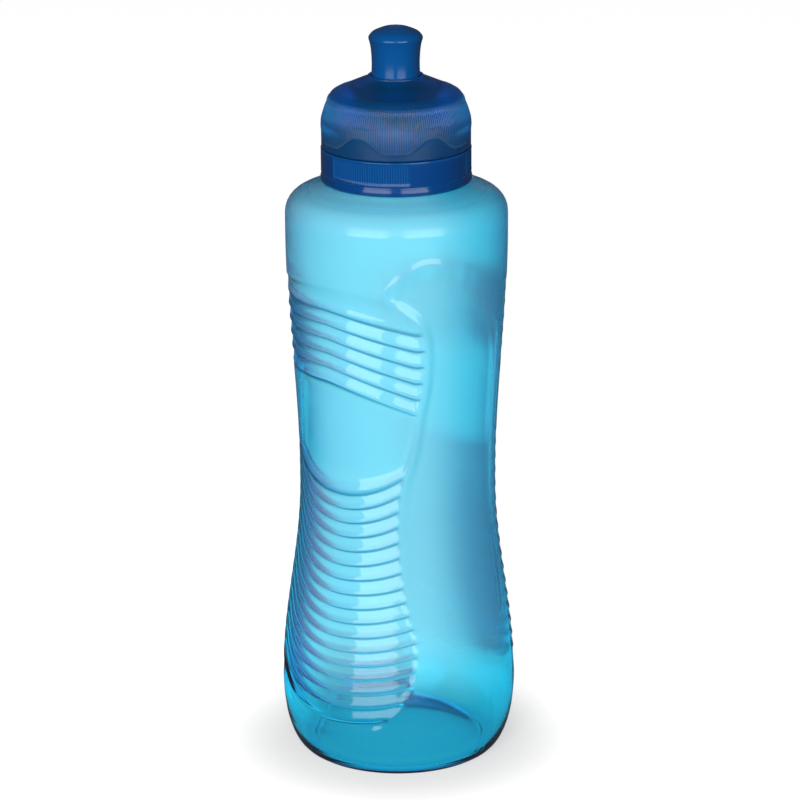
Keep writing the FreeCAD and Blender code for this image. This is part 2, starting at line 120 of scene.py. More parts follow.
def put(angle: np.ndarray, radius: np.ndarray, height: np.ndarray) -> np.ndarray:
    """Places at an azimuth in degrees, a radius and a height.

    Args:
        angle: The azimuths.
        radius: The distances from the axis.
        height: The heights.

    Returns:
        Places as rows of x, y and z.
    """
    turn = np.radians(angle)
    return np.stack([radius * np.sin(turn), -radius * np.cos(turn), height], axis=1)


def wrapped(angle: np.ndarray, start: float, span: float) -> np.ndarray:
    """Brings azimuths into the span that begins at start."""
    return np.mod(angle - start, span) + start


def both_grips(angle: np.ndarray) -> tuple[np.ndarray, np.ndarray]:
    """The azimuths in the frames of the two grips, which lie half a turn apart."""
    return wrapped(angle, -HALF_TURN, FULL_TURN), wrapped(angle - HALF_TURN, -HALF_TURN, FULL_TURN)


def polar(places: np.ndarray) -> tuple[np.ndarray, np.ndarray, np.ndarray]:
    """The azimuth, the distance from the axis and the height of each place."""
    return azimuth(places), np.hypot(places[:, 0], places[:, 1]), places[:, 2]


def thread(angle: np.ndarray, height: np.ndarray, start: float, turns: float) -> np.ndarray:
    """How far the neck's thread, or the cap's, is raised.

    Args:
        angle: The azimuths.
        height: The heights.
        start: The height at which the thread starts.
        turns: How many turns it has.

    Returns:
        The rise at each place, from 0 to 1.
    """
    turn = wrapped(angle - 90.0, 0.0, FULL_TURN) / FULL_TURN
    rise = np.zeros(len(angle))
    for along in (turn, turn + 1.0):
        off = np.abs(height - start - along * THREAD_PITCH)
        ends = smooth_step(-0.001, 0.05, along) * smooth_step(turns, turns - 0.05, along)
        rise = np.maximum(rise, smooth_step(1.0, 0.35, off) * ends)
    return rise


def arc(centre: Point, radius: float, start: float, end: float, count: int) -> list[Point]:
    """Points on an arc of an outline.

    Args:
        centre: The arc's centre, as radius and height.
        radius: The arc's radius.
        start: The angle of the first point in degrees, 0 pointing outwards and 90 up.
        end: The angle of the last point.
        count: How many points there are.

    Returns:
        The points in order.
    """
    angles = [math.radians(start + (end - start) * i / (count - 1)) for i in range(count)]
    return [(centre[0] + radius * math.cos(a), centre[1] + radius * math.sin(a)) for a in angles]


def rounded(corners: Sequence[tuple[float, float, float]], cuts: int = 3) -> list[Point]:
    """Rounds the corners of an outline.

    Args:
        corners: Each corner as radius, height and how far from it the rounding starts.
        cuts: How many points stand for a rounded corner.

    Returns:
        The outline's points in order; its ends stay as they are.
    """
    points: list[Point] = []
    for index, (radius, height, room) in enumerate(corners):
        here = Vector((radius, height))
        inner_corner = 0 < index < len(corners) - 1
        if room <= 0.0 or not inner_corner:
            points.append((radius, height))
            continue
        before = Vector(corners[index - 1][:2]) - here
        after = Vector(corners[index + 1][:2]) - here
        start = here + before.normalized() * min(room, before.length / 2.0)
        end = here + after.normalized() * min(room, after.length / 2.0)
        for cut in range(cuts):
            share = cut / (cuts - 1)
            place = start.lerp(here, share).lerp(here.lerp(end, share), share)
            points.append((place.x, place.y))
    return points


def smooth_outline(corners: Sequence[Point], cuts: int = 4) -> np.ndarray:
    """A closed curve through the corners of an outline.

    Args:
        corners: The corners in order.
        cuts: How many points the curve has for each corner.

    Returns:
        The curve's points as rows.
    """
    points = np.array(corners, float)
    before, after, beyond = (np.roll(points, shift, axis=0) for shift in (1, -1, -2))
    made = []
    for cut in range(cuts):
        s = cut / cuts
        made.append(
            0.5
            * (
                2.0 * points
                + (after - before) * s
                + (2.0 * before - 5.0 * points + 4.0 * after - beyond) * s**2
                + (3.0 * points - before - 3.0 * after + beyond) * s**3
            )
        )
    return np.stack(made, axis=1).reshape(-1, 2)


def depth_inside(places: np.ndarray, outline: np.ndarray) -> np.ndarray:
    """How far inside a closed outline each place lies.

    Args:
        places: Places as rows of two numbers.
        outline: The outline's points as rows.

    Returns:
        The distance to the outline, positive inside it.
    """
    nearest = np.full(len(places), 1e9)
    inside = np.zeros(len(places), bool)
    for start, end in zip(outline, np.roll(outline, -1, axis=0)):
        run = end - start
        if not run.any():
            continue
        share = np.clip(((places - start) @ run) / (run @ run), 0.0, 1.0)
        gap = places - start - share[:, None] * run
        nearest = np.minimum(nearest, np.einsum("ij,ij->i", gap, gap))
        if run[1] != 0.0:
            level = (start[1] > places[:, 1]) != (end[1] > places[:, 1])
            crossing = start[0] + (places[:, 1] - start[1]) * run[0] / run[1]
            inside ^= level & (places[:, 0] < crossing)
    return np.sqrt(nearest) * np.where(inside, 1.0, -1.0)


class Turning:
    """A piece turned from an outline about the bottle's axis."""

    def __init__(self) -> None:
        """Starts with an empty mesh."""
        self.mesh = bmesh.new()

    def outline(self, points: Sequence[Point], rows: Sequence[int] = (), closed: bool = False) -> list:
        """Draws an outline in the plane through the axis.

        Args:
            points: Its points, as radius and height.
            rows: How many rows each stretch is cut into, 1 where there are none.
            closed: Whether the last point joins the first.

        Returns:
            The outline's edges.
        """
        bm = self.mesh
        verts = [bm.verts.new((0.0, -radius, height)) for radius, height in points]
        pairs = list(zip(verts, verts[1:] + verts[:1] if closed else verts[1:]))
        edges = [bm.edges.new(pair) for pair in pairs]
        for edge, count in zip(list(edges), rows):
            if count > 1:
                cut = bmesh.ops.subdivide_edges(bm, edges=[edge], cuts=count - 1)
                edges += [part for part in cut["geom_split"] if isinstance(part, bmesh.types.BMEdge)]
        return [edge for edge in set(edges) if edge.is_valid]

    def spin(self, edges: Sequence, steps: int, sweep: float = FULL_TURN, start: float = 0.0) -> "Turning":
        """Turns an outline about the axis; a full turn is an eighth of it, doubled three times.

        Args:
            edges: The outline's edges, and its face where the sweep is not a full turn.
            steps: How many steps the turn has, a multiple of eight for a full turn.
            sweep: The angle turned through, in degrees.
            start: The azimuth at which the turn starts.

        Returns:
            This piece.
        """
        bm = self.mesh
        known = {vert for edge in edges for vert in edge.verts}
        if start:
            self._rotate(known, start)
        full = sweep >= FULL_TURN
        geometry = list(known) + list(edges)
        if not full:
            geometry += list({face for edge in edges for face in edge.link_faces})
        bmesh.ops.spin(
            bm,
            geom=geometry,
            cent=(0, 0, 0),
            axis=(0, 0, 1),
            angle=math.radians(sweep / 8.0 if full else sweep),
            steps=steps // 8 if full else steps,
        )
        for turn in (45.0, 90.0, 180.0) if full else ():
            copy = bmesh.ops.duplicate(bm, geom=bm.verts[:] + bm.edges[:] + bm.faces[:])
            self._rotate([made for made in copy["geom"] if isinstance(made, bmesh.types.BMVert)], turn)
        return self

    def _rotate(self, verts: Sequence, turn: float) -> None:
        """Turns verts about the axis by an angle in degrees."""
        matrix = Matrix.Rotation(math.radians(turn), 3, "Z")
        bmesh.ops.rotate(self.mesh, cent=(0, 0, 0), matrix=matrix, verts=list(verts))

    def close(self) -> "Turning":
        """Merges the doubles at the seam and poles and turns every face outwards."""
        bmesh.ops.remove_doubles(self.mesh, verts=self.mesh.verts, dist=1e-4)
        bmesh.ops.recalc_face_normals(self.mesh, faces=self.mesh.faces)
        return self

    def shape(self, rule: Rule) -> "Turning":
        """Moves the verts by a rule.

        Args:
            rule: Gives the new places for an array of places.

        Returns:
            This piece.
        """
        places = np.array([vert.co[:] for vert in self.mesh.verts], float)
        for vert, place in zip(self.mesh.verts, rule(places)):
            vert.co = place
        return self

    def mark(self, name: str, rule: Rule) -> "Turning":
        """Marks the verts with a value of their own, for the piece's finish to read.

        Args:
            name: The attribute's name.
            rule: Gives the value at each of an array of places.

        Returns:
            This piece.
        """
        places = np.array([vert.co[:] for vert in self.mesh.verts], float)
        layer = self.mesh.verts.layers.float.new(name)
        for vert, value in zip(self.mesh.verts, rule(places)):
            vert[layer] = value
        return self

    def finish(self, name: str, body: str, node: str, slot: str, coat: bpy.types.Material) -> bpy.types.Object:
        """Makes the piece in metres, dresses it and puts it on its body.

        Args:
            name: The piece's name.
            body: The body it rides on.
            node: The solid that it stands for.
            slot: The record's material slot; not used.
            coat: Its material.

        Returns:
            The finished object.
        """
        bmesh.ops.scale(self.mesh, vec=(MM, MM, MM), verts=self.mesh.verts)
        data = bpy.data.meshes.new(name)
        self.mesh.to_mesh(data)
        self.mesh.free()
        data.shade_smooth()
        data.materials.append(coat)
        piece = bpy.data.objects.new(name, data)
        bpy.context.scene.collection.objects.link(piece)
        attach(piece, body)
        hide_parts(node)
        triangles = sum(len(polygon.vertices) - 2 for polygon in data.polygons)
        LOG.info("%s: %d triangles, on body %s", name, triangles, body)
        return piece


class Nodes:
    """The nodes of a material or a world."""

    def __init__(self, owner: bpy.types.Material | bpy.types.World) -> None:
        """Switches the owner's nodes on."""
        owner.use_nodes = True
        self.tree = owner.node_tree

    def feed(self, node: bpy.types.Node, values: Values, joins: Joins) -> None:
        """Sets a node's inputs.

        Args:
            node: The node.
            values: The plain values, by input.
            joins: The sockets that lead into it, by input.
        """
        for name, value in values.items():
            node.inputs[name].default_value = value
        for name, socket in joins.items():
            self.tree.links.new(socket, node.inputs[name])

    def add(self, kind: str, values: Values, joins: Joins) -> bpy.types.Node:
        """Adds a node and sets its inputs.

        Args:
            kind: The node's kind.
            values: The plain values, by input.
            joins: The sockets that lead into it, by input.

        Returns:
            The node.
        """
        node = self.tree.nodes.new(f"ShaderNode{kind}")
        self.feed(node, values, joins)
        return node

    def noise(self, where: bpy.types.NodeSocket, scale: float, detail: float) -> bpy.types.NodeSocket:
        """A noise on the piece's own coordinates, with its scale per metre."""
        node = self.add("TexNoise", {"Scale": scale, "Detail": detail}, {"Vector": where})
        return node.outputs["Fac"]

    def ramp(self, factor: bpy.types.NodeSocket, *stops: tuple[float, Colour]) -> bpy.types.NodeSocket:
        """A colour that goes from one stop to the next as the factor rises.

        Args:
            factor: The factor.
            *stops: Two stops, each with its position and colour.

        Returns:
            The colour's socket.
        """
        node = self.add("ValToRGB", {}, {"Fac": factor})
        for element, (position, colour) in zip(node.color_ramp.elements, stops):
            element.position = position
            element.color = (*colour, 1.0)
        return node.outputs["Color"]

    def mark(self, name: str) -> bpy.types.NodeSocket:
        """The value with which a piece's verts are marked."""
        node = self.add("Attribute", {}, {})
        node.attribute_name = name
        return node.outputs["Fac"]

    def scaled(
        self, socket: bpy.types.NodeSocket, factor: float, values: Values, joins: Joins
    ) -> bpy.types.NodeSocket:
        """A value times a factor, plus what is set or led into input 2.

        Args:
            socket: The value.
            factor: The factor.
            values: The plain value to add, by input.
            joins: The socket to add, by input.

        Returns:
            The sum's socket.
        """
        node = self.add("Math", {}, {})
        node.operation = "MULTIPLY_ADD"
        self.feed(node, {1: factor, **values}, {0: socket, **joins})
        return node.outputs["Value"]


@dataclass(frozen=True)
class Finish:
    """A moulded plastic, clear or solid, with the small unevenness of its mould."""

    name: str
    surface: Colour
    streak: Colour
    clearness: float
    roughness: float
    ior: float = 1.47
    tint: Colour | None = None
    density: float = 0.0
    subsurface: float = 0.0
    ripple: float = 0.04
    ripple_scale: float = 60.0
    haze: float = 0.0
    milk: float = 0.0
    # Painted light: a colour mixed in where a piece marks painted shade or painted highlights.
    painted_light_colour: Colour | None = None

    def material(self) -> bpy.types.Material:
        """Builds the node material.

        Returns:
            The material.
        """
        made = bpy.data.materials.new(self.name)
        nodes = Nodes(made)
        where = nodes.add("TexCoord", {}, {}).outputs["Object"]
        values = {
            "IOR": self.ior,
            "Transmission Weight": self.clearness,
            "Subsurface Weight": self.subsurface,
            "Subsurface Radius": (0.2, 0.6, 1.0),
            "Subsurface Scale": 0.002,
        }
        joins = {
            "Base Color": self._colour(nodes, where),
            "Roughness": self._gloss(nodes, where),
            "Normal": self._ripple(nodes, where),
        }
        if self.milk > 0.0:
            joins["Transmission Weight"] = nodes.scaled(nodes.mark("veil"), -self.milk, {2: self.clearness}, {})
        nodes.feed(nodes.tree.nodes["Principled BSDF"], values, joins)
        if self.tint is not None:
            depth = nodes.add("VolumeAbsorption", {"Color": (*self.tint, 1.0), "Density": self.density}, {})
            nodes.feed(nodes.tree.nodes["Material Output"], {}, {"Volume": depth.outputs["Volume"]})
        return made

    def _colour(self, nodes: Nodes, where: bpy.types.NodeSocket) -> bpy.types.NodeSocket:
        """Lets the colour drift between surface and streak, and mixes in the painted light colour where painted
        shade or painted highlights are marked.

        Args:
            nodes: The material's nodes.
            where: The coordinates.

        Returns:
            The colour's socket.
        """
        colour = nodes.ramp(nodes.noise(where, 18.0, 2.0), (0.35, self.surface), (0.68, self.streak))
        if self.painted_light_colour is None:
            return colour
        # Mixes in the painted shade or painted highlight colour where the painted light mark is set.
        joins = {"Fac": nodes.mark("painted_light"), "Color1": colour}
        mix = nodes.add("MixRGB", {"Color2": (*self.painted_light_colour, 1.0)}, joins)
        return mix.outputs["Color"]

    def _gloss(self, nodes: Nodes, where: bpy.types.NodeSocket) -> bpy.types.NodeSocket:
        """Varies the roughness a little, and adds the haze where a wall is marked.

        Args:
            nodes: The material's nodes.
            where: The coordinates.

        Returns:
            The roughness's socket.
        """
        values = {"To Min": self.roughness * 0.8, "To Max": self.roughness * 1.25}
        spread = nodes.add("MapRange", values, {"Value": nodes.noise(where, 140.0, 3.0)}).outputs["Result"]
        return nodes.scaled(nodes.mark("inside"), self.haze, {}, {2: spread}) if self.haze > 0.0 else spread

    def _ripple(self, nodes: Nodes, where: bpy.types.NodeSocket) -> bpy.types.NodeSocket:
        """The faint waviness of a moulding, as a normal.

        Args:
            nodes: The material's nodes.
            where: The coordinates.

        Returns:
            The normal's socket.
        """
        height = nodes.noise(where, self.ripple_scale, 1.0)
        bump = nodes.add("Bump", {"Strength": self.ripple, "Distance": 0.002}, {"Height": height})
        return bump.outputs["Normal"]


CLEAR_SHELL = Finish(
    name="clear_tinted_shell",
    surface=(0.93, 0.985, 0.995),
    streak=(0.90, 0.975, 0.99),
    clearness=0.995,
    roughness=0.06,
    tint=(0.0, 0.905, 0.990),
    density=1350.0,
    ripple=0.02,
    ripple_scale=35.0,
    haze=0.26,
    milk=0.07,
    # Painted shade: the dark colour laid along the ridge steps.
    painted_light_colour=(0.0, 0.16, 0.38),
)
DOME_BLUE = Finish(
    name="translucent_dome",
    surface=(0.003, 0.32, 0.80),
    streak=(0.003, 0.28, 0.74),
    clearness=0.95,
    roughness=0.31,
    ior=1.42,
    tint=(0.0, 0.82, 0.95),
    density=300.0,
    ripple=0.02,
    # Painted highlight colour for the rib crests and the hem line.
    painted_light_colour=(0.24, 0.62, 0.95),
)
CAP_BLUE = Finish(
    name="moulded_cap_blue",
    surface=(0.0006, 0.021, 0.090),
    streak=(0.0005, 0.018, 0.078),
    clearness=0.0,
    roughness=0.12,
    ior=1.45,
    # Painted highlight colour for the rib crests and the skirt's top edge.
    painted_light_colour=(0.002, 0.043, 0.14),
)
SPOUT_BLUE = Finish(
    name="moulded_spout_blue",
    surface=(0.0004, 0.034, 0.122),
    streak=(0.0004, 0.030, 0.108),
    clearness=0.0,
    roughness=0.15,
    ior=1.45,
)
INNER_BLUE = Finish(
    name="inner_works_blue",
    surface=(0.003, 0.06, 0.22),
    streak=(0.002, 0.05, 0.18),
    clearness=0.0,
    roughness=0.35,
)
SEAL_PALE = Finish(
    name="pale_silicone",
    surface=(0.72, 0.78, 0.82),
    streak=(0.66, 0.73, 0.78),
    clearness=0.0,
    roughness=0.5,
    subsurface=0.4,
    ripple=0.1,
    ripple_scale=300.0,
)


@dataclass
class GripRelief:
    """The moulded grip, twice round the body: ridges, a thumb recess and a finger panel.

    A level is a row's height before the rows are bent to follow the ridges. Azimuths are in
    degrees from the middle of the ridged panel.
    """

    lower_top: float = 103.0
    lower_pitch: float = 5.09
    lower_ridges: int = 16
    upper_bottom: float = 143.75
    upper_pitch: float = 5.15
    upper_ridges: int = 5
    crown_run: float = 8.5
    valley_deep: float = 2.0
    valley_shallow: float = 1.15
    thumb_deep: float = 1.5
    finger_deep: float = 1.3
    groove_deep: float = 0.14
    groove_pitch: float = 28.0
    land_sink: float = 0.10
    millimetres_per_degree: float = 0.646
    rows_outside: int = 7
    rows_inside: int = 3

    def __post_init__(self) -> None:
        """Works out the levels at the ends of the ridged stretches and the panels' outlines."""
        self.lower_bottom = self.lower_top - self.lower_ridges * self.lower_pitch
        self.upper_top = self.upper_bottom + self.upper_ridges * self.upper_pitch
        self.crown = self.upper_top + self.crown_run
        self.heel = self.lower_bottom - self.lower_pitch
        self.stretches = (
            (self.lower_bottom, self.lower_pitch, self.lower_ridges),
            (self.upper_bottom, self.upper_pitch, self.upper_ridges),
        )
        self.ridge_panel = self._scaled(
            [
                (-52, 174.5), (-28, 176.3), (-3, 178.1), (21, 176.6), (33, 174.0), (43, 169.6),
                (51, 165.0), (54.4, 158.5), (54.8, 150), (53.6, 141), (50.8, 132.5), (48.4, 122),
                (43.5, 111), (41.3, 101), (40.9, 87), (42.4, 74), (45.5, 62.5), (49, 54),
                (49.6, 45), (47, 37), (42, 30), (34, 22.5), (18, 14), (-10, 12), (-45, 14),
                (-60, 24), (-61, 90), (-61, 164),
            ]
        )  # fmt: skip
        self.finger_panel = self._scaled(
            [
                (24, 163), (27, 168), (31.2, 174.6), (38.7, 181.1), (48.8, 185.9), (57, 187.6),
                (70, 185.2), (80, 181.6),
                (90, 175.4), (101, 167.2), (109, 158.5), (112, 148), (112.5, 100), (112, 62),
                (108, 54.6), (100, 56), (85, 61.3), (66, 67.5), (54, 72), (46, 76), (34, 84),
                (30, 120), (32, 150),
            ]
        )  # fmt: skip

    def _scaled(self, corners: Sequence[Point]) -> np.ndarray:
        """A panel's outline on the unrolled wall."""
        curve = smooth_outline(corners)
        curve[:, 0] *= self.millimetres_per_degree
        return curve

    def settled(self, level: np.ndarray, side: Wall) -> np.ndarray:
        """Gathers evenly spaced rows at the crest and the step of each ridge.

        Args:
            level: The rows' levels.
            side: Which side of the wall they are on.

        Returns:
            The levels they move to.
        """
        if side is Wall.OUTSIDE:
            place = OUTER_PHASES
        else:
            place = (0.0, 0.42, 0.80, 1.0)
        even = np.arange(len(place)) / (len(place) - 1.0)
        out = level.copy()
        for bottom, pitch, count in self.stretches:
            turn = (level - bottom) / pitch
            inside = (turn > -SLACK) & (turn < count + SLACK)
            whole = np.floor(turn + SLACK)
            moved = bottom + (whole + np.interp(turn - whole, even, place)) * pitch
            out = np.where(inside, moved, out)
        return out

    def lift(self, angle: np.ndarray, level: np.ndarray) -> np.ndarray:
        """How far the rows are raised so that they follow the bent ridges.

        Args:
            angle: The azimuths in the panel's own frame.
            level: The rows' levels.

        Returns:
            The rise of each place.
        """
        side = angle - 5.0
        left = 0.0045 * np.clip(-side, 0.0, 62.0) ** 2
        curl = np.interp(level, [36.9, 67.4, self.lower_top], [0.0023, 0.0026, 0.0052])
        right = curl * np.clip(side, 0.0, 50.0) ** 2
        lower = np.where(side < 0.0, left, right)
        drop = np.interp(level, [self.upper_bottom, self.upper_top], [9.0, 6.0])
        upper = -drop * np.clip((angle + 3.0) / 48.0, 0.0, 1.1) ** 1.4
        fade = smooth_step(-86.0, -60.0, angle) * smooth_step(78.0, 55.0, angle)
        low = np.interp(level, [5.0, self.lower_bottom, self.lower_top, self.upper_bottom], [0, 1, 1, 0])
        high = np.interp(level, [self.lower_top, self.upper_bottom, self.upper_top, 188.0], [0, 1, 1, 0])
        return fade * (low * lower + high * upper)

    def ridges(self, angle: np.ndarray, level: np.ndarray, side: Wall) -> np.ndarray:
        """How deep the saw-toothed ridges and the thumb recess lie.

        Args:
            angle: The azimuths in the panel's own frame.
            level: The rows' levels.
            side: Which side of the wall they are on.

        Returns:
            The depth of each place.
        """
        if side is Wall.OUTSIDE:
            phases = OUTER_PHASES
            depths = [0.12, 0.0, 0.36, 0.72, 0.95, 1.0, 0.60, 0.12]
        else:
            phases = [0.0, 0.15, 0.42, 0.80, 1.0]
            depths = [0.42, 0.12, 0.38, 0.86, 0.42]
        deep = self.valley_shallow + (self.valley_deep - self.valley_shallow) * smooth_step(32.0, -28.0, angle)
        out = np.zeros(len(level))
        for bottom, pitch, count in self.stretches:
            turn = (level - bottom) / pitch
            inside = (turn >= -SLACK) & (turn < count - SLACK)
            wave = np.interp(turn - np.floor(turn + SLACK), phases, depths)
            out = np.where(inside, wave * deep, out)
        run_out = (level - self.heel) / self.lower_pitch
        wave = np.interp(run_out, [0.0, 0.1, 0.80, 0.90, 0.955, 1.0], [0.0, 0.03, 0.92, 1.0, 0.55, 0.12])
        out = np.where((run_out >= 0.0) & (run_out < 1.0 - SLACK), wave * deep, out)
        crown = (level - self.upper_top) / self.crown_run
        wave = np.interp(crown, [0.0, 0.06, 0.30, 0.50, 0.80, 1.0], [0.12, 0.0, 0.46, 0.58, 0.35, 0.0])
        fade = smooth_step(50.0, 30.0, angle)
        out = np.where((crown >= -SLACK) & (crown <= 1.0), wave * deep * fade, out)
        return out + self._thumb(angle, level)

    def painted_shade_lines(self, angle: np.ndarray, level: np.ndarray) -> np.ndarray:
        """How strongly each place takes the painted shade of the dark line under a ridge's step, for both
        grips.

        Args:
            angle: The azimuths.
            level: The rows' levels.

        Returns:
            The painted shade at each place, from 0 to 1.
        """
        level = self.settled(level, Wall.OUTSIDE)
        out = np.zeros(len(level))
        for turned in both_grips(angle):
            height = level + self.lift(turned, level)
            flat = np.stack([turned * self.millimetres_per_degree, height], axis=1)
            inside = smooth_step(-0.2, 1.0, depth_inside(flat, self.ridge_panel))
            # Painted shade is darker towards the panel's left.
            strength = 0.5 + 0.5 * smooth_step(46.0, -10.0, turned)
            for bottom, pitch, count in (
                (self.heel, self.lower_pitch, self.lower_ridges + 1),
                (self.upper_bottom, self.upper_pitch, self.upper_ridges + 1),
            ):
                turn = (level - bottom) / pitch
                near = (turn > 0.5) & (turn < count + 0.5 - (bottom > 100.0))
                off = np.abs(turn - np.round(turn) + 0.035)
                line = smooth_step(0.13, 0.05, off)
                out = np.maximum(out, np.where(near, line * inside * strength, 0.0))
            low_line = smooth_step(0.5, 0.15, np.abs(level - self.upper_bottom + 0.15))
            out = np.maximum(out, low_line * inside * strength)
        return out

    def _thumb(self, angle: np.ndarray, level: np.ndarray) -> np.ndarray:
        """The smooth recess between the two stretches of ridges.

        Args:
            angle: The azimuths in the panel's own frame.
            level: The rows' levels.

        Returns:
            The depth of each place.
        """
        between = (level >= self.lower_top - SLACK) & (level < self.upper_bottom - SLACK)
        rise = self.upper_bottom - level
        left = np.interp(level, [self.lower_top, 112.0, 136.0, self.upper_bottom], [-40.0, -37.0, -31.0, -27.0])
        corner = smooth_step(-2.0, 5.0, angle - left)
        floor = smooth_step(self.lower_top + 0.3, self.lower_top + 7.0, level) * smooth_step(0.0, 0.6, rise)
        lip = 0.12 * smooth_step(0.5, 0.0, level - self.lower_top)
        return np.where(between, self.thumb_deep * corner * floor + lip, 0.0)

    def depth(self, angle: np.ndarray, level: np.ndarray, height: np.ndarray, side: Wall) -> np.ndarray:
        """How far the whole grip lies below the plain wall.

        Args:
            angle: The azimuths in the panel's own frame.
            level: The rows' levels.
            height: The rows' heights after they are bent.
            side: Which side of the wall they are on.

        Returns:
            The depth of each place.
        """
        flat = np.stack([angle * self.millimetres_per_degree, height], axis=1)
        in_ridges = depth_inside(flat, self.ridge_panel)
        in_fingers = depth_inside(flat, self.finger_panel)
        run_in = smooth_step(-58.0, -42.0, angle)
        ridged = smooth_step(-0.3, 1.1, in_ridges) * (self.land_sink + run_in * self.ridges(angle, level, side))
        beside = smooth_step(1.0, 4.4, -in_ridges)
        groove = np.cos(2.0 * np.pi * (height + 0.34 * (angle - 50.0) - 128.0) / self.groove_pitch)
        sunk = self.finger_deep - self.groove_deep * groove * smooth_step(6.0, 16.0, in_fingers)
        sunk = sunk * smooth_step(72.0, 132.0, height)
        crease = 0.16 * np.exp(-(((in_fingers - 0.6) / 0.45) ** 2)) * smooth_step(98.0, 84.0, height)
        fillet = np.interp(height, [75.0, 100.0], [1.8, 5.0])
        fingers = (sunk * smooth_step(0.0, 1.0, in_fingers / fillet) + crease) * beside
        rolls = np.exp(-(((in_fingers - 0.2) / 1.3) ** 2)) + 0.9 * np.exp(-(((in_fingers - 3.6) / 1.2) ** 2))
        crown = smooth_step(160.0, 171.0, height) * smooth_step(0.0, 1.5, -in_ridges)
        return ridged + fingers - 0.5 * rolls * crown * smooth_step(96.0, 62.0, angle)

    def shaped(self, angle: np.ndarray, level: np.ndarray, side: Wall) -> tuple[np.ndarray, np.ndarray]:
        """The height and the depth of every place on the wall, for both grips.

        Args:
            angle: The azimuths.
            level: The rows' levels.
            side: Which side of the wall they are on.

        Returns:
            The heights and the depths.
        """
        level = self.settled(level, side)
        grips = both_grips(angle)
        height = level + sum(self.lift(turned, level) for turned in grips)
        deep = sum(self.depth(turned, level, height, side) for turned in grips)
        return height, deep


